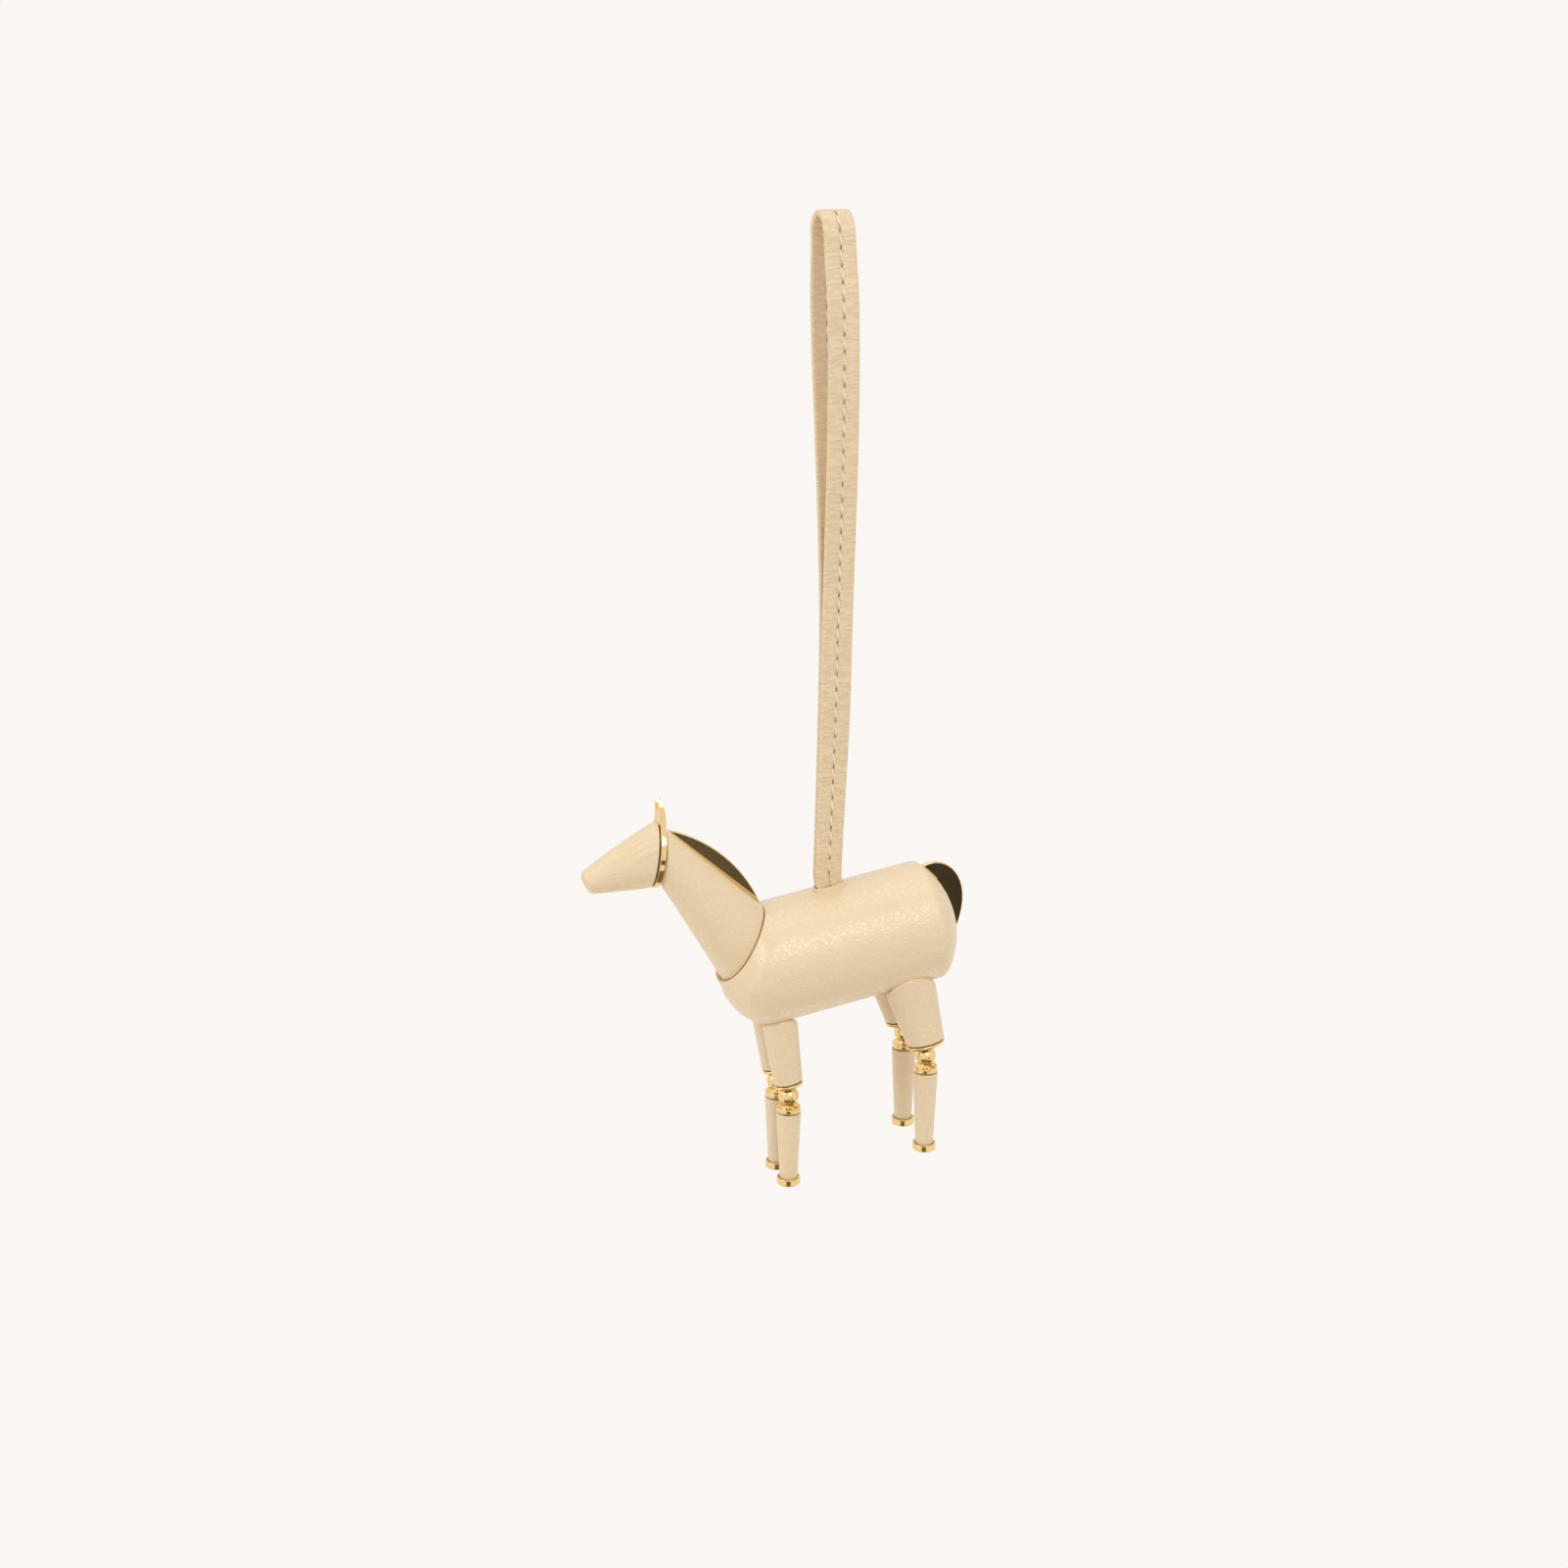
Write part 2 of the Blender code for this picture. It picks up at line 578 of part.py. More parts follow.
def build_head(barrel, neck_core):
    """A tapering head with a rounded muzzle, set on the collar by a dowel."""
    def sections(inset, nose):
        rows = []
        for share in (0.0, 0.06, 0.35, 0.65, 0.94):
            up = between(COLLAR_UP, MUZZLE_UP, share).normalized()
            tall = between(HEAD_BASE_TALL, MUZZLE_TALL, share) - inset
            wide = between(HEAD_BASE_WIDE, MUZZLE_WIDE, share) - inset
            if share == 0.0:
                tall -= GAP
                wide -= GAP
            rows.append((between(HEAD_BASE, MUZZLE_CENTRE, share), up, tall, wide))
        forward = (MUZZLE_CENTRE - HEAD_BASE).normalized()
        for i in (1, 2, 3):
            turn = MUZZLE_TURN * i / 3
            centre = MUZZLE_CENTRE + forward * (MUZZLE_ROUND * sin(turn) / sin(MUZZLE_TURN) - nose)
            tall = (MUZZLE_TALL - inset) * cos(turn)
            wide = (MUZZLE_WIDE - inset) * cos(turn)
            rows.append((centre, MUZZLE_UP, tall, wide))
        return rows

    skin = loft("head_skin", sections(0, 0), CREAM_LEATHER, barrel)
    hollow = loft("head_hollow", sections(LEATHER, LEATHER), None, barrel)
    hollow.location = -COLLAR_NORMAL * GAP
    boolean(skin, hollow)
    core = loft("head_core", sections(LEATHER + GAP, LEATHER + GAP), CORE_WOOD, barrel)
    start = COLLAR_CENTRE - COLLAR_NORMAL * HEAD_DOWEL_ROOT
    end = COLLAR_CENTRE + COLLAR_NORMAL * HEAD_DOWEL_REACH
    rod("head_dowel", HEAD_DOWEL_RADIUS, start, end, barrel, CORE_WOOD)
    hole = rod("head_dowel_hole", HEAD_DOWEL_RADIUS + GAP, start - COLLAR_NORMAL * GAP,
               end + COLLAR_NORMAL * GAP, barrel)
    boolean(core, hole)
    boolean(neck_core, hole)


def build_ear_collar(barrel):
    """An oval plate with two pointed ears, bored for the head dowel."""
    lift = asin(EAR_SPREAD * 2 / COLLAR_WIDE)
    oval = [(COLLAR_WIDE * x, COLLAR_TALL * y)
            for x, y in arc(1, (0, 0), pi / 2 + lift, 2 * pi + pi / 2 - lift, 31)]
    foot_x, foot_y = oval[-1]
    tip = (EAR_SPREAD, COLLAR_TALL + EAR_HEIGHT)
    outer_bow = (EAR_SPREAD + EAR_OUTER_BULGE, between(foot_y, tip[1], EAR_OUTER_SHARE))
    inner_bow = (EAR_SPREAD - EAR_INNER_BULGE, between(foot_y, tip[1], EAR_INNER_SHARE))
    outer = arc_through((foot_x, foot_y), outer_bow, tip, 7)[1:]
    inner = arc_through(tip, inner_bow, (GAP, COLLAR_TALL), 7)[1:]
    right = outer + inner
    left = [(-x, y) for x, y in reversed(right)]
    bore = arc(HEAD_DOWEL_RADIUS + GAP, (0, 0), 0, 2 * pi * (1 - 1 / SMALL_STEPS), SMALL_STEPS)
    made = plate("ear_collar", (oval + right + left, bore), COLLAR_PLATE, GOLD_BRASS, barrel)
    turn = Matrix((ACROSS, COLLAR_UP, -COLLAR_NORMAL)).transposed().to_4x4()
    made.matrix_basis = Matrix.Translation(COLLAR_CENTRE) @ turn


def leg_sections(leg, side, inset):
    """Ellipses down an upper leg, from inside the barrel to its end cap."""
    top_z = -BARREL_RADIUS / 2
    seam_z = -BARREL_RADIUS
    foot_z = leg["cap_z"] + CAP_PLATE + GAP
    sections = []
    for z in (top_z, seam_z, between(seam_z, foot_z, 0.5), foot_z):
        share = (z - seam_z) / (foot_z - seam_z)
        half_long = between(leg["top"][0], leg["foot"][0], share) - inset
        half_across = between(leg["top"][1], leg["foot"][1], share) - inset
        centre = Vector((leg["x"] + leg["rake"] * share, side * leg["y"], z))
        sections.append((centre, Vector((1, 0, 0)), half_long, half_across))
    return sections


def build_upper_leg(name, leg, side, barrel, saddle):
    """Leather sleeve and core, saddled under the barrel, with a metal end cap."""
    outside = leg_sections(leg, side, 0)
    inside = leg_sections(leg, side, LEG_LEATHER + GAP)
    skin = loft("upper_leg_skin_" + name, outside, CREAM_LEATHER, barrel, LEG_LEATHER, LEG_STEPS)
    core = loft("upper_leg_core_" + name, inside, CORE_WOOD, barrel, steps=LEG_STEPS)
    boolean(skin, saddle)
    boolean(core, saddle)
    foot, along, half_long, half_across = outside[-1]
    down = Vector((0, 0, -1))
    rows = [(foot + down * GAP, along, half_long, half_across),
            (foot + down * (GAP + CAP_PLATE), along, half_long, half_across)]
    cap = loft("upper_leg_cap_" + name, rows, GOLD_BRASS, barrel, steps=LEG_STEPS)
    stud_top = foot + Vector((0, 0, STUD_LENGTH + GAP))
    stud_hole = rod("stud_hole_" + name, STUD_RADIUS + GAP, stud_top, foot + down * CUT_MARGIN, barrel)
    boolean(core, stud_hole)
    boolean(cap, stud_hole)
    return core


def build_leg_dowel(name, leg, side, barrel, bored):
    """A dowel pins an upper leg to the barrel's core."""
    x = leg["x"]
    y = side * leg["y"]
    seam = -sqrt(BARREL_RADIUS ** 2 - leg["y"] ** 2)
    top = Vector((x, y, seam + LEG_DOWEL_UP))
    bottom = Vector((x, y, seam - LEG_DOWEL_DOWN))
    rod("leg_dowel_" + name, LEG_DOWEL_RADIUS, bottom, top, barrel, CORE_WOOD)
    lift = Vector((0, 0, GAP))
    hole = rod("leg_dowel_hole_" + name, LEG_DOWEL_RADIUS + GAP, bottom - lift, top + lift, barrel)
    for piece in bored:
        boolean(piece, hole)


def knee_centre(leg, side):
    """The ball hangs plumb below the middle of the end cap and just clears it."""
    cap_middle = Vector((leg["x"] + leg["rake"], side * leg["y"], leg["cap_z"]))
    return cap_middle + PLUMB * ((BALL_RADIUS + GAP) / cos(PITCH))


def build_knee_ball(name, leg, side, barrel):
    """A ball on a stud. Its flared mouth points straight down and keeps the link's bulb inside."""
    mouth = asin(SOCKET_NECK / SOCKET_RADIUS)
    outside = arc(BALL_RADIUS, (0, 0), pi / 2, mouth - pi / 2, 9)
    inside = arc(SOCKET_RADIUS, (0, 0), mouth - pi / 2, pi / 2, 6)
    profile = [(0, BALL_RADIUS)] + outside[1:] + inside[:-1] + [(0, SOCKET_RADIUS)]
    ball = turned("knee_ball_" + name, profile, GOLD_BRASS, barrel, LEG_STEPS)
    centre = knee_centre(leg, side)
    ball.location = centre
    ball.rotation_euler = (0, PITCH, 0)
    foot = leg_sections(leg, side, 0)[-1][0]
    bite = (BALL_RADIUS + SOCKET_RADIUS) / 2
    stud_foot = Vector((foot.x, foot.y, centre.z + bite))
    stud = rod("stud_" + name, STUD_RADIUS, stud_foot, foot + Vector((0, 0, STUD_LENGTH)), barrel)
    boolean(ball, stud, "UNION")


def build_lower_leg(name, leg, side, barrel):
    """The link, collar, shank and hoof that hang from one ball. Heights are below its centre."""
    knee = empty("knee_" + name, barrel, knee_centre(leg, side), PITCH)
    bulb = SOCKET_RADIUS - GAP
    neck = asin(STEM_RADIUS / bulb)
    collar_foot = COLLAR_DROP + KNEE_COLLAR_HEIGHT
    shank_top = collar_foot + GAP
    shoulder = shank_top
    link = [(0, bulb)] + arc(bulb, (0, 0), pi / 2, neck - pi / 2, 6)[1:]
    link += [(STEM_RADIUS, -shoulder), (PIN_RADIUS, -shoulder), (PIN_RADIUS, -shoulder - PIN_LENGTH),
             (0, -shoulder - PIN_LENGTH)]
    turned("knee_link_" + name, link, GOLD_BRASS, knee, SMALL_STEPS)

    dish = BALL_RADIUS + GAP
    bore = STEM_RADIUS + GAP
    dish_edge = acos(COLLAR_DROP / dish)
    dish_foot = asin(bore / dish)
    rim = KNEE_COLLAR_RADIUS - KNEE_COLLAR_ROUND
    ring = arc(dish, (0, 0), dish_foot - pi / 2, dish_edge - pi / 2, 3)
    ring += arc(KNEE_COLLAR_ROUND, (rim, -COLLAR_DROP - KNEE_COLLAR_ROUND), pi / 2, 0, 3)
    ring += arc(KNEE_COLLAR_ROUND, (rim, -collar_foot + KNEE_COLLAR_ROUND), 0, -pi / 2, 3)
    ring += [(bore, -collar_foot)]
    turned("knee_collar_" + name, ring, GOLD_BRASS, knee, LEG_STEPS)

    shank_foot = leg["sole"] - HOOF_FLOOR - GAP
    wall = LEG_LEATHER
    turned("shank_skin_" + name, [
        (SHANK_TOP_RADIUS - wall, -shank_top), (SHANK_TOP_RADIUS - GAP, -shank_top),
        (SHANK_TOP_RADIUS, -shank_top - GAP), (SHANK_FOOT_RADIUS, -shank_foot + GAP),
        (SHANK_FOOT_RADIUS - GAP, -shank_foot), (SHANK_FOOT_RADIUS - wall, -shank_foot),
    ], CREAM_LEATHER, knee, LEG_STEPS)

    inset = wall + GAP
    pin_room = PIN_RADIUS + GAP
    pin_foot = shoulder + PIN_LENGTH + GAP
    turned("shank_core_" + name, [
        (0, -pin_foot), (pin_room, -pin_foot), (pin_room, -shank_top), (SHANK_TOP_RADIUS - inset, -shank_top),
        (SHANK_FOOT_RADIUS - inset, -shank_foot), (0, -shank_foot),
    ], CORE_WOOD, knee, SMALL_STEPS)

    cup = SHANK_FOOT_RADIUS + GAP
    hoof = cup + HOOF_WALL
    floor = leg["sole"] - HOOF_FLOOR
    rim_top = leg["sole"] - HOOF_HEIGHT
    edge = HOOF_WALL / 3
    turned("hoof_" + name, [
        (0, -floor), (cup, -floor), (cup, -rim_top - edge), (cup + edge, -rim_top), (hoof - edge, -rim_top),
        (hoof, -rim_top - edge), (hoof, -leg["sole"] + edge), (hoof - edge, -leg["sole"]), (0, -leg["sole"]),
    ], GOLD_BRASS, knee, LEG_STEPS)


def build():
    build_strap()
    torso = empty("torso", None, (0, 0, -STRAP_DROP), -PITCH)
    barrel = empty("barrel_axis", torso, (0, 0, -SWING_RISE - BARREL_RADIUS))
    slot, pin_hole = build_strap_ends(barrel)
    barrel_skin, barrel_core = build_barrel(barrel, slot, pin_hole)
    rump = build_rump(barrel)
    neck_skin, neck_core = build_neck(barrel, barrel_skin, barrel_core)
    build_mane(barrel, neck_skin, neck_core)
    build_tail(barrel, rump, barrel_core)
    build_ear_collar(barrel)
    build_head(barrel, neck_core)
    saddle = barrel_form("saddle", -GAP, None, barrel, BARREL_REAR + CUT_MARGIN)
    for name, leg, side in LEGS:
        leg_core = build_upper_leg(name, leg, side, barrel, saddle)
        build_leg_dowel(name, leg, side, barrel, (barrel_skin, barrel_core, leg_core))
        build_knee_ball(name, leg, side, barrel)
        build_lower_leg(name, leg, side, barrel)


build()
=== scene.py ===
"""Looks of the leather horse charm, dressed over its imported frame.

Metres, +Z up, the frame's own axes: the origin is the inside top of the strap loop,
the horse faces -X and its left side is -Y.
"""

import json
from math import asin, cos, exp, pi, radians, sin, sqrt, tan

import bmesh
import bpy
import numpy as np
from bpy.props import FloatProperty, FloatVectorProperty, PointerProperty
from bpy.types import Operator, Panel, PropertyGroup
from mathutils import Matrix, Vector


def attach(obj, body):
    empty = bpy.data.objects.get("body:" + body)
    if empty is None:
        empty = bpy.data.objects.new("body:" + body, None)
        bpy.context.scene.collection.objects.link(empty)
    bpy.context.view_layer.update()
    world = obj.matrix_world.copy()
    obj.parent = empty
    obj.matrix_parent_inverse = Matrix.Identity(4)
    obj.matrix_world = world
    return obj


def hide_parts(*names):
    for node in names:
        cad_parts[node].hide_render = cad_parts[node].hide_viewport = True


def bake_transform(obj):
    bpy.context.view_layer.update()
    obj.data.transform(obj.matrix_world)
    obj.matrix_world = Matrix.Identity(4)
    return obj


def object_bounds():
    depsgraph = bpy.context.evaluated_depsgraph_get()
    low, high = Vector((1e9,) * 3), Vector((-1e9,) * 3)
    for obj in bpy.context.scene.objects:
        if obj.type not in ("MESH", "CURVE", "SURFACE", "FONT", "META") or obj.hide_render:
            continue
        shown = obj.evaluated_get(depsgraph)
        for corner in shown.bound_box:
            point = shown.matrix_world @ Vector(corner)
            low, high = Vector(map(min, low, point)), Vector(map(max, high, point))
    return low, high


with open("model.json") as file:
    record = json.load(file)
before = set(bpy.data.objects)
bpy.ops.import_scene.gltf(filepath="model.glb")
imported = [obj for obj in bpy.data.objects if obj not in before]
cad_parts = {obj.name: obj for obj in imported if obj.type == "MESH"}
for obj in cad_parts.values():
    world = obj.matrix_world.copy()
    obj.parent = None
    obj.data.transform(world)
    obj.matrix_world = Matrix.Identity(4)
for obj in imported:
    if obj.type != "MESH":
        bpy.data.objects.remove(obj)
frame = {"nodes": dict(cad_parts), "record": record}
CAD_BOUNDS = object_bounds()
KNEES = {joint["name"]: Vector(joint["pos_m"]) for joint in frame["record"]["behaviour"]["joints"]}

bl_info = {
    "name": "Leather Horse Charm",
    "version": (1, 0, 0),
    "blender": (4, 5, 0),
    "location": "View3D > Sidebar > Charm",
    "description": "Dresses a hanging leather horse with metal mane, tail, ball knees and a stitched strap",
    "category": "Add Mesh",
}

ALONG = Vector((1, 0, 0))
ACROSS = Vector((0, 1, 0))
SIDES = (("left", -1), ("right", 1))

# Distances within which points count as one, in a cut and in a merge.
CUT_SNAP = 0.000001
MERGE_SNAP = 0.000002

# Steps round each form, so many that no corner shows.
BARREL_STEPS = 112
NECK_STEPS = 144
HEAD_STEPS = 80
OVAL_STEPS = 64
TURNED_STEPS = 56

# Degrees above which an edge is rounded: square ones, those of a dish and the rim of the rump.
SQUARE_EDGE = 60.0
DISH_EDGE = 50.0
RIM_EDGE = 30.0

# Degrees above which an edge is shaded sharp, on any piece and on a plate.
SHADED_SHARP = 38.0
PLATE_SHARP = 17.0

# A metal wall is kept flat from this share of its rounding inwards.
FLAT_SHARE = 1.35
# Power of the curve of a knee collar's dish: the higher it is, the flatter the dish's floor.
DISH_POWER = 4
# Share by which the rolled leather stands higher under the neck than at its sides.
LIP_UNDER = 1.5
# The back is what lies above this share of the barrel's radius.
BACK_SHARE = 0.9
# How far round the muzzle's end is turned, in degrees, and how full it stays.
MUZZLE_TURN = 84.0
MUZZLE_FULLNESS = 0.8
# Thickness of a stitch over its width.
STITCH_FLAT = 0.8
# From one point of the strap's route to the next.
ROUTE_STEP = 0.0012
# Halvings that find where a leg meets the barrel.
HALVINGS = 24

# The stage, in the frame's metres. A softbox has a place, a width and a power in watts.
LENS = 56.25
SENSOR = 36.0
EYE = (-0.17626, -0.53877, 0.03907)
GAZE = (0.2796, 0.9145, -0.2924)
AIM = (0.0, 0.0, -0.17)
SOFTBOXES = (
    ("key_softbox", (-0.78, -0.12, 0.33), 0.40, 1.4),
    ("fill_softbox", (0.055, -0.61, 0.31), 0.40, 1.1),
    ("top_softbox", (0.05, 0.10, 0.70), 0.60, 1.0),
)
# A dark card has a place, a point that it faces, a width and a height.
DARK_CARDS = (
    ("mane_card", (0.15, -0.50, -0.355), AIM, 0.32, 0.16),
    ("hoof_card", (-0.145, -0.435, -0.456), (-0.01, 0.0, -0.235), 0.42, 0.16),
    ("low_card", (-0.05, -0.18, -0.47), (-0.05, -0.18, 0.0), 0.80, 0.42),
)
SOFT_TINT = (1.0, 0.985, 0.965)
SOFT_STRENGTH = 0.80
FLOOR_DROP = 0.25
FLOOR_HALF = 3.0
SWEEP_RADIUS = 1.0
SWEEP_STEPS = 16


def size(name, description, default):
    return FloatProperty(name=name, description=description, default=default, precision=5, unit="LENGTH")


def angle(name, description, degrees):
    return FloatProperty(name=name, description=description, default=radians(degrees), subtype="ANGLE")


def colour(name, description, default):
    return FloatVectorProperty(name=name, description=description, default=default, size=3,
                               min=0.0, max=1.0, subtype="COLOR")


class StrapSizes(PropertyGroup):
    width: size("Width", "Width of the folded strap", 0.0075)
    foot_width: size("Foot width", "Width where the strap enters the back", 0.0066)
    foot_shift: size("Foot shift", "How far its foot lies behind the middle, or ahead if under 0", -0.0005)
    ply: size("Thickness", "Thickness of one leg of the strap", 0.0015)
    loop_radius: size("Loop radius", "Inside radius of the loop's top", 0.0041)
    drop: size("Drop", "From the inside top of the loop to the swing at the back", 0.1576)
    spacing: size("Leg spacing", "Between the middles of the two legs where they lie together", 0.0017)
    part_drop: size("Parting", "Drop at which the legs start to close", 0.0170)
    join_drop: size("Joining", "Drop at which the legs lie together", 0.1070)
    swing_rise: size("Swing rise", "From the back up to the swing", 0.0021)
    root: size("Root", "Length of the strap below the swing, into the slot", 0.0085)
    bow: size("Bow", "How far the hanging strap bows to the rear", 0.0014)
    belly: size("Belly", "How far each leg bulges outwards below the loop's top", 0.0016)
    edge_round: size("Edge round", "Rounding of the folded edges", 0.00075)
    seam_depth: size("Seam depth", "Depth of the groove along the seam", 0.00022)
    stitch_pitch: size("Stitch pitch", "From one stitch to the next", 0.00385)
    stitch_half: size("Stitch half length", "Half the length of a stitch", 0.00140)
    thread_radius: size("Thread radius", "Radius of the sewing thread", 0.00031)
    stitch_slant: angle("Stitch slant", "Slant of each stitch to the seam", 9.0)


class BodySizes(PropertyGroup):
    clearance: size("Clearance", "Gap between neighbouring pieces", 0.0003)
    radius: size("Radius", "Radius of the barrel", 0.0150)
    front: size("Front", "From the strap to the start of the chest's dome", 0.0205)
    chest: size("Chest", "Depth of the chest's dome", 0.0113)
    rear: size("Rear", "From the strap to the rim of the rump", 0.0232)
    bulge: size("Bulge", "Height of the rump's dome", 0.0062)
    pitch: angle("Pitch", "How far the body tips nose-down as it hangs", 9.5)
    seat_x: size("Seat place", "Middle of the neck's seat along the barrel", -0.0245)
    seat_z: size("Seat height", "Middle of the neck's seat above the axis", 0.0066)
    seat_angle: angle("Seat angle", "Slant of the neck's seat", 39.0)
    seat_round: size("Seat round", "Depth over which the leather rolls in to the neck", 0.0028)
    seat_lip: size("Seat lip", "How far the rolled leather stands up round the neck", 0.0006)
    lip_crest: size("Lip crest", "From the neck to the crest of the rolled leather", 0.0008)
    welt_wide: size("Welt width", "Width of the welt round the strap's foot", 0.00055)
    welt_crest: size("Welt crest", "Width of the welt at its top", 0.000385)
    welt_tall: size("Welt height", "How far the welt stands above the back", 0.0009)
    welt_round: size("Welt round", "Rounding of the welt's top", 0.000165)
    rim_round: size("Rim round", "Rounding of the leather where the barrel meets the rump", 0.0011)
    slot_depth: size("Slot depth", "Depth of the strap's slot that can be seen", 0.0060)


class NeckSizes(PropertyGroup):
    base_tall: size("Base height", "Half height of the neck at its seat", 0.0104)
    base_rise: size("Base rise", "How far the neck's foot lies above the seat's middle", 0.0004)
    base_wide: size("Base width", "Half width of the neck at its seat", 0.0085)
    top_tall: size("Top height", "Half height of the neck at the collar", 0.0068)
    top_wide: size("Top width", "Half width of the neck at the collar", 0.0056)
    collar_x: size("Collar place", "Middle of the ear collar along the barrel", -0.0410)
    collar_z: size("Collar height", "Middle of the ear collar above the axis", 0.0348)
    collar_lean: angle("Collar lean", "Lean of the ear collar", 17.0)
    collar_plate: size("Collar plate", "Thickness of the ear collar", 0.0014)
    collar_tall: size("Collar half height", "Half height of the ear collar", 0.0083)
    ear_prick: angle("Ear prick", "How far the ears lean forward of the collar", 12.0)
    head_tall: size("Head height", "Half height of the head at the collar", 0.0082)
    head_wide: size("Head width", "Half width of the head at the collar", 0.0057)
    muzzle_x: size("Muzzle place", "Middle of the muzzle along the barrel", -0.0583)
    muzzle_z: size("Muzzle height", "Middle of the muzzle above the axis", 0.0322)
    muzzle_lean: angle("Muzzle lean", "Lean of the muzzle", -14.0)
    muzzle_tall: size("Muzzle half height", "Half height of the muzzle", 0.0031)
    muzzle_wide: size("Muzzle half width", "Half width of the muzzle", 0.0030)
    muzzle_round: size("Muzzle round", "How far the muzzle bulges", 0.0014)
    seam_round: size("Seam round", "Rounding of the leather at a seam", 0.00030)
    foot_tall: size("Mane foot height", "Height of the thinned foot of the mane over the leather", 0.00078)
    foot_thin: size("Mane foot thinning", "How much each face of the mane draws in at its foot", 0.00025)
    plate_round: size("Plate round", "Rounding of the metal plates' edges", 0.00022)


class FrontLegSizes(PropertyGroup):
    along: size("Place", "Middle of the leg along the barrel", -0.0198)
    apart: size("Apart", "Middle of the leg from the body's middle", 0.0050)
    top_long: size("Top length", "Half length at the body", 0.0044)
    top_across: size("Top width", "Half width at the body", 0.0037)
    foot_long: size("Foot length", "Half length at the end cap", 0.0037)
    foot_across: size("Foot width", "Half width at the end cap", 0.0031)
    cap_z: size("Cap height", "Under side of the end cap from the barrel's axis", -0.0313)
    rake: size("Rake", "How far the foot lies behind the top, or ahead if under 0", -0.0005)
    sole: size("Sole drop", "From the ball's middle to the sole", 0.0236)


class RearLegSizes(PropertyGroup):
    along: size("Place", "Middle of the leg along the barrel", 0.0139)
    apart: size("Apart", "Middle of the leg from the body's middle", 0.0080)
    top_long: size("Top length", "Half length at the body", 0.0063)
    top_across: size("Top width", "Half width at the body", 0.0039)
    foot_long: size("Foot length", "Half length at the end cap", 0.0049)
    foot_across: size("Foot width", "Half width at the end cap", 0.0033)
    cap_z: size("Cap height", "Under side of the end cap from the barrel's axis", -0.0295)
    rake: size("Rake", "How far the foot lies behind the top, or ahead if under 0", 0.0015)
    sole: size("Sole drop", "From the ball's middle to the sole", 0.0253)


class KneeSizes(PropertyGroup):
    cap_plate: size("Cap plate", "Thickness of an end cap", 0.0008)
    top_round: size("Top round", "Rounding of the leather at the top of a leg", 0.0011)
    ball: size("Ball", "Radius of a knee ball", 0.0026)
    socket: size("Socket", "Radius of the hollow in a knee ball", 0.0014)
    mouth: size("Mouth", "Radius of the hollow's mouth", 0.00095)
    stud: size("Stud", "Radius of the stud above a ball", 0.0009)
    stem: size("Stem", "Radius of the link's stem", 0.00035)
    collar_drop: size("Collar drop", "From the ball's middle to the collar's rim", 0.00275)
    collar_radius: size("Collar radius", "Radius of a knee collar", 0.0030)
    collar_height: size("Collar height", "Height of a knee collar", 0.00131)
    collar_lip: size("Collar lip", "Width of the rim round a collar's dish", 0.00034)
    collar_dish: size("Collar dish", "Depth of a collar's dish", 0.00100)
    collar_round: size("Collar round", "Rounding of a knee collar", 0.00028)
    shank_top: size("Shank top", "Radius of a shank below its collar", 0.0031)
    shank_foot: size("Shank foot", "Radius of a shank in its hoof", 0.0022)
    hoof_wall: size("Hoof wall", "Thickness of a hoof's wall", 0.00045)
    hoof_height: size("Hoof height", "Height of a hoof", 0.0017)
    hoof_floor: size("Hoof floor", "Thickness of a hoof's floor", 0.0005)
    edge_round: size("Edge round", "Rounding of small metal edges", 0.00013)


class CharmFinishes(PropertyGroup):
    leather: colour("Leather", "Cream leather", (0.80, 0.64, 0.41))
    # Besides a random drift of tone, leather_deep is mixed in as painted shade in the pebble valleys, creases
    # and folds.
    leather_deep: colour("Leather creases", "Leather in its creases and pores", (0.58, 0.41, 0.21))
    thread: colour("Thread", "Sewing thread", (0.88, 0.77, 0.57))
    hole: colour("Stitch hole", "Shade inside a stitch hole", (0.20, 0.11, 0.04))
    gold: colour("Gold tone", "Polished gold-tone metal", (0.88, 0.67, 0.32))
    gold_deep: colour("Gold tone, deep", "Metal where the polish is warmer", (0.82, 0.58, 0.24))
    wood: colour("Wood", "Hidden cores", (0.50, 0.35, 0.20))
    wood_deep: colour("Wood rings", "Darker rings in the cores", (0.32, 0.20, 0.10))
    floor: colour("Floor", "Floor and backdrop", (0.968, 0.936, 0.908))
    card_warm: colour("Card, warm", "The warm end of a dark card", (0.230, 0.150, 0.070))
    card_grey: colour("Card, grey", "The middle of a dark card", (0.130, 0.115, 0.090))
    card_black: colour("Card, black", "The dark end of a dark card", (0.035, 0.034, 0.034))


def sizes(name):
    return getattr(bpy.context.scene, "charm_" + name)


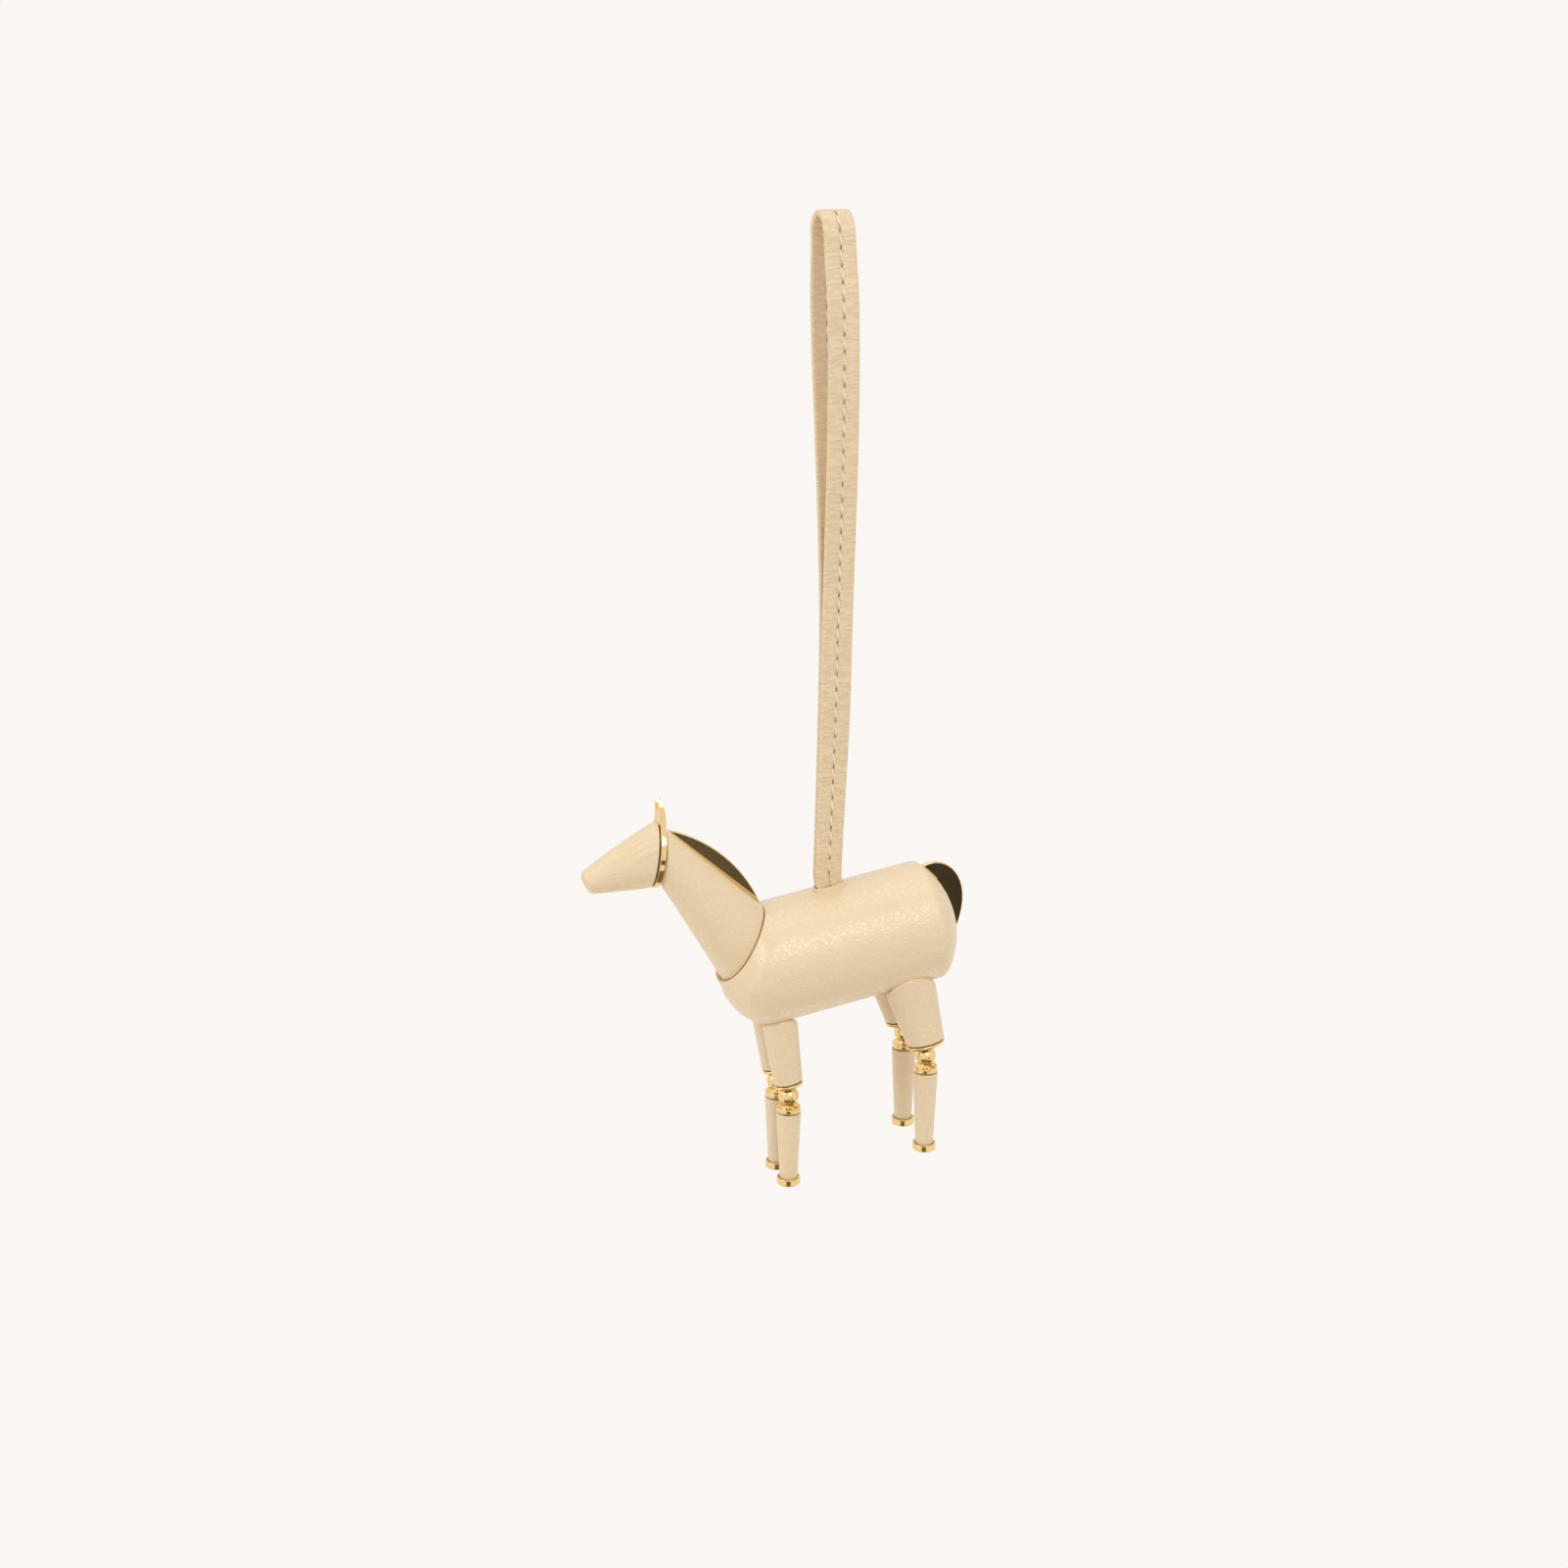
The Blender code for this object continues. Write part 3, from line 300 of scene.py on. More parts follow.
class Wiring:
    """Adds nodes to a tree and links them by socket name."""

    def __init__(self, tree):
        self.tree = tree

    def node(self, kind, *links, **values):
        made = self.tree.nodes.new(kind)
        for key, value in values.items():
            if hasattr(made, key):
                setattr(made, key, value)
            else:
                made.inputs[key.replace("_", " ").title()].default_value = value
        for socket, source in links:
            self.tree.links.new(source, made.inputs[socket])
        return made

    def math(self, operation, one, two=0.0, clamp=False):
        made = self.tree.nodes.new("ShaderNodeMath")
        made.operation = operation
        made.use_clamp = clamp
        for index, value in enumerate((one, two)):
            if isinstance(value, (int, float)):
                made.inputs[index].default_value = value
            else:
                self.tree.links.new(value, made.inputs[index])
        return made.outputs["Value"]

    def share(self, value, part):
        """A fixed part of a value."""
        return self.math("MULTIPLY", value, part)

    def flip(self, value):
        """1 where the value is 0, and 0 where it is 1."""
        return self.math("SUBTRACT", 1.0, value)

    def seen(self):
        """1 for the lens and for what mirrors and glass show, 0 for soft light."""
        path = self.node("ShaderNodeLightPath").outputs
        mirrored = self.math("ADD", path["Is Camera Ray"], path["Is Glossy Ray"], clamp=True)
        return self.math("ADD", mirrored, path["Is Transmission Ray"], clamp=True)

    def step(self, value, low, high):
        """0 below low and 1 above high, smooth between them."""
        made = self.node("ShaderNodeMapRange", ("Value", value))
        made.interpolation_type = "SMOOTHSTEP"
        made.inputs["From Min"].default_value = low
        made.inputs["From Max"].default_value = high
        return made.outputs["Result"]

    def mix(self, share, one, two):
        made = self.tree.nodes.new("ShaderNodeMix")
        made.data_type = "RGBA"
        for index, value in ((0, share), (6, one), (7, two)):
            if isinstance(value, bpy.types.NodeSocket):
                self.tree.links.new(value, made.inputs[index])
            else:
                made.inputs[index].default_value = value if index == 0 else (*value, 1.0)
        return made.outputs[2]


def new_group(name, inputs, outputs):
    """An empty shader group with vector and value inputs and value outputs."""
    group = bpy.data.node_groups.new(name, "ShaderNodeTree")
    group.interface.new_socket("Vector", in_out="INPUT", socket_type="NodeSocketVector")
    for label, value in inputs:
        socket = group.interface.new_socket(label, in_out="INPUT", socket_type="NodeSocketFloat")
        socket.default_value = value
    for label in outputs:
        group.interface.new_socket(label, in_out="OUTPUT", socket_type="NodeSocketFloat")
    wiring = Wiring(group)
    return group, wiring, wiring.node("NodeGroupInput"), wiring.node("NodeGroupOutput")


def pebble_grain():
    """Small rounded pebbles with valleys between them, and finer pores on top."""
    found = bpy.data.node_groups.get("pebble_grain")
    if found:
        return found
    full_warp = 0.0012
    pebble_edge = 0.32
    pore_depth = 0.04
    inputs = (("Scale", 1800.0), ("Stretch", 0.35))
    group, wiring, given, out = new_group("pebble_grain", inputs, ("Height", "Valleys"))
    links = group.links
    warp = wiring.node("ShaderNodeTexNoise", ("Vector", given.outputs["Vector"]), scale=700.0, detail=2.0)
    shift = wiring.node("ShaderNodeVectorMath", ("Vector", warp.outputs["Color"]), operation="SCALE")
    links.new(wiring.share(given.outputs["Stretch"], full_warp), shift.inputs["Scale"])
    moved = wiring.node("ShaderNodeVectorMath", (0, given.outputs["Vector"]), (1, shift.outputs["Vector"]),
                        operation="ADD")
    cells = wiring.node("ShaderNodeTexVoronoi", ("Vector", moved.outputs["Vector"]),
                        ("Scale", given.outputs["Scale"]), feature="DISTANCE_TO_EDGE")
    dome = wiring.step(cells.outputs["Distance"], 0.0, pebble_edge)
    pores = wiring.node("ShaderNodeTexNoise", ("Vector", given.outputs["Vector"]), scale=5200.0, detail=2.0)
    height = wiring.math("ADD", dome, wiring.share(pores.outputs["Fac"], pore_depth))
    links.new(height, out.inputs["Height"])
    links.new(wiring.flip(dome), out.inputs["Valleys"])
    return group


def soft_mottle():
    """Slow and finer drifts of tone, for leather, metal and wood that are never quite even."""
    found = bpy.data.node_groups.get("soft_mottle")
    if found:
        return found
    group, wiring, given, out = new_group("soft_mottle", (("Scale", 60.0),), ("Tone", "Fine"))
    finer = 14.0
    low, high = 0.30, 0.70
    slow = wiring.node("ShaderNodeTexNoise", ("Vector", given.outputs["Vector"]),
                       ("Scale", given.outputs["Scale"]), detail=3.0)
    fine = wiring.node("ShaderNodeTexNoise", ("Vector", given.outputs["Vector"]),
                       ("Scale", wiring.share(given.outputs["Scale"], finer)), detail=4.0)
    group.links.new(wiring.step(slow.outputs["Fac"], low, high), out.inputs["Tone"])
    group.links.new(wiring.step(fine.outputs["Fac"], low, high), out.inputs["Fine"])
    return group


def new_material(name):
    made = bpy.data.materials.new(name)
    made.use_nodes = True
    wiring = Wiring(made.node_tree)
    shader = made.node_tree.nodes["Principled BSDF"]
    return made, wiring, shader


def place_group(wiring, group, vector, **values):
    made = wiring.tree.nodes.new("ShaderNodeGroup")
    made.node_tree = group
    wiring.tree.links.new(vector, made.inputs["Vector"])
    for label, value in values.items():
        made.inputs[label.title()].default_value = value
    return made


def add_bump(wiring, shader, height, strength, distance):
    bump = wiring.node("ShaderNodeBump", ("Height", height))
    bump.inputs["Strength"].default_value = strength
    bump.inputs["Distance"].default_value = distance
    wiring.tree.links.new(bump.outputs["Normal"], shader.inputs["Normal"])


def leather(name, wrinkle=None):
    """Cream leather with a fine pebble: the pebbles are polished and the creases matt.

    A wrinkle is the direction along which fine folds run. Painted shade darkens the valleys between the
    pebbles and the fold lines, over a random drift of tone.
    """
    found = bpy.data.materials.get(name)
    if found:
        return found
    valley_shade = 0.14
    fold_shade = 0.22
    tone_shade = 0.05
    polish = 0.17
    uneven_polish = 0.05
    crease_matt = 2.2
    fold_line = (0.010, 0.085)
    finish = sizes("finishes")
    made, wiring, shader = new_material(name)
    links = made.node_tree.links
    place = wiring.node("ShaderNodeTexCoord").outputs["Object"]
    drawn = wiring.node("ShaderNodeMapping", ("Vector", place), vector_type="POINT")
    drawn.inputs["Scale"].default_value = (0.62, 1.0, 1.0)
    grain = place_group(wiring, pebble_grain(), drawn.outputs["Vector"], scale=1000.0, stretch=0.40)
    mottle = place_group(wiring, soft_mottle(), place, scale=70.0)
    height = grain.outputs["Height"]
    # Painted shade: the valleys between the pebbles are drawn darker.
    creases = wiring.share(grain.outputs["Valleys"], valley_shade)
    if wrinkle is not None:
        turn = wrinkle.to_track_quat("X", "Z").to_euler()
        lined = wiring.node("ShaderNodeMapping", ("Vector", place), vector_type="TEXTURE")
        lined.inputs["Rotation"].default_value = turn
        lined.inputs["Scale"].default_value = (0.0600, 0.0012, 0.0012)
        folds = wiring.node("ShaderNodeTexNoise", ("Vector", lined.outputs["Vector"]), scale=1.0, detail=0.0)
        off_line = wiring.math("ABSOLUTE", wiring.math("SUBTRACT", folds.outputs["Fac"], 0.5))
        line = wiring.flip(wiring.step(off_line, *fold_line))
        come_and_go = place_group(wiring, soft_mottle(), place, scale=150.0)
        fold = wiring.math("MULTIPLY", line, come_and_go.outputs["Tone"])
        height = wiring.math("SUBTRACT", height, fold)
        # Painted shade: each fold line is drawn darker as well as sunk.
        creases = wiring.math("ADD", creases, wiring.share(fold, fold_shade))
    tone = wiring.share(mottle.outputs["Tone"], tone_shade)
    shade = wiring.math("ADD", creases, tone, clamp=True)
    links.new(wiring.mix(shade, finish.leather, finish.leather_deep), shader.inputs["Base Color"])
    rough = wiring.math("ADD", polish, wiring.share(mottle.outputs["Fine"], uneven_polish))
    rough = wiring.math("ADD", rough, wiring.share(creases, crease_matt), clamp=True)
    links.new(rough, shader.inputs["Roughness"])
    shader.inputs["Specular IOR Level"].default_value = 0.8
    shader.inputs["Coat Weight"].default_value = 0.20
    shader.inputs["Coat Roughness"].default_value = 0.25
    add_bump(wiring, shader, height, strength=0.8, distance=0.00003)
    return made


def strap_leather():
    """Leather on the strap's own UV map, in metres: U across it, V along it.

    Fine folds run across, a seam runs down the middle, and holes lie between the stitches. Painted shade
    darkens the pebble valleys and the troughs of the folds, the seam is drawn darker, and each hole is
    painted dark as the shade inside it.
    """
    valley_shade = 0.14
    fold_shade = 0.26
    seam_shade = 0.35
    tone_shade = 0.07
    hole_shade = 0.85
    seam_half = (0.00006, 0.00034)
    hole_half = (0.00010, 0.00030)
    hole_pitch = (0.07, 0.16)
    hole_cover = (-0.6, 1.0)
    fold_edge = (0.38, 0.58)
    polish = 0.30
    uneven_polish = 0.08
    crease_matt = 0.3
    grain_depth = 0.30
    seam_deep = 0.8
    strap = sizes("strap")
    finish = sizes("finishes")
    made, wiring, shader = new_material("strap_leather")
    links = made.node_tree.links
    laid = wiring.node("ShaderNodeUVMap", uv_map="UVMap").outputs["UV"]
    grain = place_group(wiring, pebble_grain(), laid, scale=1700.0, stretch=0.40)
    mottle = place_group(wiring, soft_mottle(), laid, scale=75.0)
    drawn = wiring.node("ShaderNodeMapping", ("Vector", laid), vector_type="POINT")
    drawn.inputs["Scale"].default_value = (300.0, 1350.0, 1.0)
    folds = wiring.node("ShaderNodeTexNoise", ("Vector", drawn.outputs["Vector"]), scale=1.0, detail=3.0)
    folds.inputs["Distortion"].default_value = 0.35
    fold = wiring.step(folds.outputs["Fac"], *fold_edge)
    parts = wiring.node("ShaderNodeSeparateXYZ", ("Vector", laid))
    off_seam = wiring.math("ABSOLUTE", parts.outputs["X"])
    seam = wiring.flip(wiring.step(off_seam, *seam_half))
    # Painted shade: each stitch hole is a dark slit painted on the leather, with no hole cut.
    turn = wiring.math("FRACT", wiring.math("DIVIDE", parts.outputs["Y"], strap.stitch_pitch))
    from_hole = wiring.math("ABSOLUTE", wiring.math("SUBTRACT", turn, 0.5))
    hole_long = wiring.flip(wiring.step(from_hole, *hole_pitch))
    hole_wide = wiring.flip(wiring.step(off_seam, *hole_half))
    hole = wiring.math("MULTIPLY", hole_long, hole_wide)
    hole = wiring.math("MULTIPLY", hole, wiring.step(fold, *hole_cover))
    # Painted shade in the pebble valleys and the troughs of the folds, darker along the seam, and a random
    # drift of tone.
    shaded = wiring.math("ADD", wiring.share(grain.outputs["Valleys"], valley_shade),
                         wiring.share(wiring.flip(fold), fold_shade))
    shaded = wiring.math("ADD", shaded, wiring.share(seam, seam_shade))
    shaded = wiring.math("ADD", shaded, wiring.share(mottle.outputs["Tone"], tone_shade), clamp=True)
    skin = wiring.mix(shaded, finish.leather, finish.leather_deep)
    links.new(wiring.mix(wiring.share(hole, hole_shade), skin, finish.hole), shader.inputs["Base Color"])
    rough = wiring.math("ADD", polish, wiring.share(mottle.outputs["Fine"], uneven_polish))
    links.new(wiring.math("ADD", rough, wiring.share(shaded, crease_matt)), shader.inputs["Roughness"])
    shader.inputs["Specular IOR Level"].default_value = 0.5
    shader.inputs["Coat Weight"].default_value = 0.35
    shader.inputs["Coat Roughness"].default_value = 0.22
    height = wiring.math("ADD", wiring.share(grain.outputs["Height"], grain_depth), fold)
    height = wiring.math("SUBTRACT", height, wiring.share(wiring.math("ADD", seam, hole), seam_deep))
    add_bump(wiring, shader, height, strength=0.6, distance=0.00018)
    return made


def sewing_thread():
    """Pale waxed thread with a fine twist."""
    twist_shade = 0.22
    tone_shade = 0.15
    polish = 0.45
    shade_matt = 0.4
    finish = sizes("finishes")
    made, wiring, shader = new_material("sewing_thread")
    links = made.node_tree.links
    place = wiring.node("ShaderNodeTexCoord").outputs["Object"]
    mottle = place_group(wiring, soft_mottle(), place, scale=420.0)
    twist = wiring.node("ShaderNodeTexWave", ("Vector", place), wave_type="BANDS", bands_direction="DIAGONAL",
                        scale=900.0, distortion=1.5)
    shade = wiring.math("ADD", wiring.share(twist.outputs["Fac"], twist_shade),
                        wiring.share(mottle.outputs["Tone"], tone_shade), clamp=True)
    links.new(wiring.mix(shade, finish.thread, finish.leather_deep), shader.inputs["Base Color"])
    links.new(wiring.math("ADD", polish, wiring.share(shade, shade_matt)), shader.inputs["Roughness"])
    add_bump(wiring, shader, twist.outputs["Fac"], strength=0.4, distance=0.00005)
    return made


def gold_tone():
    """Polished gold-tone metal with faint drifts of tone and hairline polishing marks."""
    found = bpy.data.materials.get("gold_tone")
    if found:
        return found
    tone_shade = 0.35
    polish = 0.045
    uneven_polish = 0.035
    finish = sizes("finishes")
    made, wiring, shader = new_material("gold_tone")
    links = made.node_tree.links
    place = wiring.node("ShaderNodeTexCoord").outputs["Object"]
    mottle = place_group(wiring, soft_mottle(), place, scale=160.0)
    shade = wiring.share(mottle.outputs["Tone"], tone_shade)
    links.new(wiring.mix(shade, finish.gold, finish.gold_deep), shader.inputs["Base Color"])
    marks = wiring.node("ShaderNodeTexNoise", ("Vector", place), scale=3800.0, detail=2.0)
    rough = wiring.math("ADD", polish, wiring.share(mottle.outputs["Fine"], uneven_polish))
    links.new(rough, shader.inputs["Roughness"])
    shader.inputs["Metallic"].default_value = 1.0
    add_bump(wiring, shader, marks.outputs["Fac"], strength=0.03, distance=0.00002)
    return made


def turned_wood():
    """Bare wood with rings, for the hidden cores."""
    found = bpy.data.materials.get("turned_wood")
    if found:
        return found
    ring_shade = 0.7
    fine_shade = 0.2
    polish = 0.6
    shade_matt = 0.2
    finish = sizes("finishes")
    made, wiring, shader = new_material("turned_wood")
    links = made.node_tree.links
    place = wiring.node("ShaderNodeTexCoord").outputs["Object"]
    mottle = place_group(wiring, soft_mottle(), place, scale=110.0)
    rings = wiring.node("ShaderNodeTexWave", ("Vector", place), wave_type="RINGS", rings_direction="X",
                        scale=180.0, distortion=4.0)
    shade = wiring.math("ADD", wiring.share(rings.outputs["Fac"], ring_shade),
                        wiring.share(mottle.outputs["Fine"], fine_shade), clamp=True)
    links.new(wiring.mix(shade, finish.wood, finish.wood_deep), shader.inputs["Base Color"])
    links.new(wiring.math("ADD", polish, wiring.share(shade, shade_matt)), shader.inputs["Roughness"])
    add_bump(wiring, shader, rings.outputs["Fac"], strength=0.2, distance=0.00008)
    return made


def floor_paper():
    """Pale paper that the lens and mirrors see evenly lit, and that still takes a soft shadow."""
    fine_shade = 0.012
    evenly_lit = 0.93
    finish = sizes("finishes")
    made, wiring, shader = new_material("floor_paper")
    links = made.node_tree.links
    place = wiring.node("ShaderNodeTexCoord").outputs["Object"]
    mottle = place_group(wiring, soft_mottle(), place, scale=9.0)
    tone = wiring.share(mottle.outputs["Fine"], fine_shade)
    links.new(wiring.mix(tone, finish.floor, finish.leather), shader.inputs["Base Color"])
    shader.inputs["Roughness"].default_value = 0.9
    glow = wiring.node("ShaderNodeEmission")
    glow.inputs["Color"].default_value = (*finish.floor, 1.0)
    both = wiring.node("ShaderNodeMixShader", (1, shader.outputs["BSDF"]), (2, glow.outputs["Emission"]))
    links.new(wiring.share(wiring.seen(), evenly_lit), both.inputs["Fac"])
    links.new(both.outputs["Shader"], made.node_tree.nodes["Material Output"].inputs["Surface"])
    return made


def dark_card():
    """Matt dark board that polished metal mirrors: warm at one end, black at the other, thin at its edges."""
    found = bpy.data.materials.get("dark_card")
    if found:
        return found
    tone_shade = 0.2
    warm_to_grey = (-0.02, 0.10)
    grey_to_black = (0.10, 0.24)
    middle = (0.5, 0.5, 0.0)
    thinning = (0.34, 0.50)
    finish = sizes("finishes")
    made, wiring, shader = new_material("dark_card")
    place = wiring.node("ShaderNodeTexCoord").outputs["Object"]
    mottle = place_group(wiring, soft_mottle(), place, scale=6.0)
    along = wiring.node("ShaderNodeSeparateXYZ", ("Vector", place)).outputs["X"]
    drift = wiring.share(mottle.outputs["Tone"], tone_shade)
    pale = wiring.mix(wiring.step(along, *warm_to_grey), finish.card_warm, finish.card_grey)
    shade = wiring.math("ADD", wiring.step(along, *grey_to_black), drift, clamp=True)
    links = made.node_tree.links
    links.new(wiring.mix(shade, pale, finish.card_black), shader.inputs["Base Color"])
    shader.inputs["Roughness"].default_value = 0.9
    laid = wiring.node("ShaderNodeUVMap", uv_map="UVMap").outputs["UV"]
    off = wiring.node("ShaderNodeVectorMath", (0, laid), operation="DISTANCE")
    off.inputs[1].default_value = middle
    clear = wiring.node("ShaderNodeBsdfTransparent")
    both = wiring.node("ShaderNodeMixShader", (1, shader.outputs["BSDF"]), (2, clear.outputs["BSDF"]))
    links.new(wiring.step(off.outputs["Value"], *thinning), both.inputs["Fac"])
    links.new(both.outputs["Shader"], made.node_tree.nodes["Material Output"].inputs["Surface"])
    return made


def barrel_place():
    """From the barrel's own axes to the frame's."""
    strap = sizes("strap")
    body = sizes("body")
    rise = (strap.swing_rise + body.clearance) / cos(body.pitch) + strap.width / 2 * tan(body.pitch)
    tip = Matrix.Rotation(-body.pitch, 4, "Y")
    return Matrix.Translation((0, 0, -strap.drop)) @ tip @ Matrix.Translation((0, 0, -rise - body.radius))


def leaning(lean):
    """Up and outward directions of a plane that leans in the body's middle plane."""
    return Vector((sin(lean), 0, cos(lean))), Vector((-cos(lean), 0, sin(lean)))


def piece(name, bm, finish, body, nodes, place=None, sharp=SHADED_SHARP):
    """Makes the finished object from a bmesh, sets it in the frame and lets it stand for its nodes."""
    if place is not None:
        bmesh.ops.transform(bm, matrix=place, verts=bm.verts)
    mesh = bpy.data.meshes.new(name)
    bm.to_mesh(mesh)
    bm.free()
    mesh.shade_smooth()
    mesh.set_sharp_from_angle(angle=radians(sharp))
    mesh.materials.append(finish)
    made = bpy.data.objects.new(name, mesh)
    bpy.context.scene.collection.objects.link(made)
    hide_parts(*nodes)
    if body:
        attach(made, body)
        level = made.modifiers.new("flat_faces", "WEIGHTED_NORMAL")
        level.weight = 100
        level.keep_sharp = True
    return made


def between(one, two, share):
    """The value that lies a share of the way from one to two."""
    return one + (two - one) * share


def cut(bm, place, facing, clear=False):
    """Cuts a whole mesh along a plane, and clears away what the plane faces if asked to."""
    bmesh.ops.bisect_plane(bm, geom=bm.verts[:] + bm.edges[:] + bm.faces[:], dist=CUT_SNAP,
                           plane_co=place, plane_no=facing, clear_outer=clear)


def round_edges(bm, edges, offset, segments=4):
    bmesh.ops.bevel(bm, geom=list(edges), offset=offset, offset_type="OFFSET", segments=segments,
                    profile=0.5, affect="EDGES", material=-1, clamp_overlap=True)


def sharp_edges(bm, degrees=SQUARE_EDGE):
    return [edge for edge in bm.edges if edge.is_manifold and edge.calc_face_angle(0.0) > radians(degrees)]


def spun(profile, steps):
    """A bmesh turned about Z from a profile of (radius, height) points."""
    bm = bmesh.new()
    verts = [bm.verts.new((radius, 0, height)) for radius, height in profile]
    edges = [bm.edges.new(pair) for pair in zip(verts, verts[1:])]
    if profile[0][0] > 0:
        edges.append(bm.edges.new((verts[-1], verts[0])))
    bmesh.ops.spin(bm, geom=verts + edges, cent=(0, 0, 0), axis=(0, 0, 1), angle=2 * pi, steps=steps,
                   use_merge=True)
    bmesh.ops.remove_doubles(bm, verts=bm.verts, dist=MERGE_SNAP)
    bmesh.ops.recalc_face_normals(bm, faces=bm.faces)
    return bm


def oval(bm, centre, up, half_up, half_across, steps):
    """An oval ring of edges in the plane of up and across: its vertices and edges."""
    turn = Matrix((up * half_up, ACROSS * half_across, up.cross(ACROSS))).transposed().to_4x4()
    made = bmesh.ops.create_circle(bm, segments=steps, radius=1.0, matrix=Matrix.Translation(centre) @ turn)
    verts = made["verts"]
    return verts, list({edge for vert in verts for edge in vert.link_edges})


def lofted(rows, steps):
    """A closed bmesh skinned over a row of ovals, with its rings of vertices and of edges."""
    bm = bmesh.new()
    rings = [oval(bm, *row, steps) for row in rows]
    loops = [edges for verts, edges in rings]
    for one, two in zip(loops, loops[1:]):
        bmesh.ops.bridge_loops(bm, edges=one + two)
    for end in (loops[0], loops[-1]):
        bmesh.ops.contextual_create(bm, geom=end)
    bmesh.ops.recalc_face_normals(bm, faces=bm.faces)
    return bm, [verts for verts, edges in rings], loops


def taper(drop):
    """0 where the strap has its full width, 1 at its foot."""
    strap = sizes("strap")
    share = min(max((drop - strap.join_drop) / (strap.drop - strap.join_drop), 0.0), 1.0)
    return share * share * (3 - 2 * share)


def strap_route():
    """Points along the strap's middle line, from its left root over the loop to its right root."""
    strap = sizes("strap")
    body = sizes("body")
    wide = strap.loop_radius + strap.ply / 2
    close = strap.spacing / 2
    leg = []
    for drop in np.arange(strap.loop_radius, strap.drop + strap.root, ROUTE_STEP):
        share = min(max((drop - strap.part_drop) / (strap.join_drop - strap.part_drop), 0.0), 1.0)
        swell = min((drop - strap.loop_radius) / strap.part_drop, 1.0)
        open_half = wide - close + strap.belly * (1 - cos(pi * swell)) / 2
        half = close + open_half * (1 + cos(pi * share)) / 2
        below = max(drop - strap.drop, 0.0)
        x = strap.bow * sin(pi * min(drop / strap.drop, 1.0)) + below * sin(body.pitch)
        x += strap.foot_shift * taper(drop)
        leg.append(Vector((x, half, -drop + below * (1 - cos(body.pitch)))))
    steps = 18
    top = [Vector((0, wide * cos(pi * i / steps), -strap.loop_radius + wide * sin(pi * i / steps)))
           for i in range(steps - 1, 0, -1)]
    left = [Vector((point.x, -point.y, point.z)) for point in reversed(leg)]
    return left + top + leg


class StrapLine:
    """The strap's middle line as arrays, with its outward normals and its length at each point."""

    def __init__(self):
        self.points = np.array(strap_route())
        steps = np.diff(self.points, axis=0)
        self.along = np.concatenate(([0.0], np.cumsum(np.linalg.norm(steps, axis=1))))
        tangents = np.gradient(self.points, self.along, axis=0)
        self.tangents = tangents / np.linalg.norm(tangents, axis=1)[:, None]
        normals = np.stack((np.zeros(len(tangents)), -self.tangents[:, 2], self.tangents[:, 1]), axis=1)
        self.normals = normals / np.linalg.norm(normals, axis=1)[:, None]

    def at(self, distance):
        """Point, tangent and outward normal at a distance along the line."""
        return [Vector([np.interp(distance, self.along, row[:, k]) for k in range(3)])
                for row in (self.points, self.tangents, self.normals)]

    def measure(self, verts):
        """For each vertex: its offset across, its place along and its offset outwards."""
        places = np.array([vert.co for vert in verts])
        gaps = places[:, None, 1:] - self.points[None, :, 1:]
        nearest = np.argmin((gaps ** 2).sum(axis=2), axis=1)
        offset = places - self.points[nearest]
        along = self.along[nearest] + (offset * self.tangents[nearest]).sum(axis=1)
        return offset[:, 0], along, (offset * self.normals[nearest]).sum(axis=1), self.normals[nearest]


class CHARM_OT_strap(Operator):
    """Cut, fold and sew the hanging strap"""

    bl_idname = "charm.strap"
    bl_label = "Stitched strap"

    def execute(self, context):
        line = StrapLine()
        strap = sizes("strap")
        bm = bmesh.new()
        rows = len(line.points) - 1
        grid = bmesh.ops.create_grid(bm, x_segments=12, y_segments=rows, size=1.0)["verts"]
        for vert in grid:
            point, _, normal = line.at((vert.co.y + 1) / 2 * line.along[-1])
            width = between(strap.width, strap.foot_width, taper(-point.z))
            vert.co = point + normal * (strap.ply / 2) + Vector((vert.co.x * width / 2, 0, 0))
        bmesh.ops.recalc_face_normals(bm, faces=bm.faces)
        bmesh.ops.solidify(bm, geom=bm.faces[:], thickness=strap.ply)
        bmesh.ops.recalc_face_normals(bm, faces=bm.faces)
        round_edges(bm, sharp_edges(bm), strap.edge_round, segments=5)
        across, along, outwards, normals = line.measure(bm.verts)
        for vert, off, out, normal in zip(bm.verts, across, outwards, normals):
            if abs(off) < strap.thread_radius and abs(out) > strap.ply / 4:
                vert.co -= Vector(normal) * (strap.seam_depth if out > 0 else -strap.seam_depth)
        bm.verts.index_update()
        uv = bm.loops.layers.uv.new("UVMap")
        for face in bm.faces:
            for corner in face.loops:
                corner[uv].uv = (across[corner.vert.index], along[corner.vert.index])
        self.sew(line, piece("strap_loop", bm, strap_leather(), None,
                             ("strap", "strap_end_left", "strap_end_right")))
        return {"FINISHED"}

    def sew(self, line, loop):
        """One thread runs down each leg's seam and shows on both faces."""
        strap = sizes("strap")
        body = sizes("body")
        bm = bmesh.new()
        first = strap.root + strap.ply
        for i in range(int(first / strap.stitch_pitch), int((line.along[-1] - first) / strap.stitch_pitch)):
            point, tangent, normal = line.at((i + 1) * strap.stitch_pitch)
            for face in (1, -1):
                slant = Matrix.Rotation(face * strap.stitch_slant, 3, normal)
                run = slant @ tangent
                side = run.cross(normal)
                centre = point + normal * (face * (strap.ply / 2 - strap.seam_depth / 2))
                turn = Matrix((side * strap.thread_radius, normal * strap.thread_radius * STITCH_FLAT,
                               run * strap.stitch_half)).transposed().to_4x4()
                bmesh.ops.create_uvsphere(bm, u_segments=8, v_segments=6, radius=1.0,
                                          matrix=Matrix.Translation(centre) @ turn)
        bmesh.ops.recalc_face_normals(bm, faces=bm.faces)
        thread = piece("strap_thread", bm, sewing_thread(), None, ())
        for soft in (loop, thread):
            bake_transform(soft)


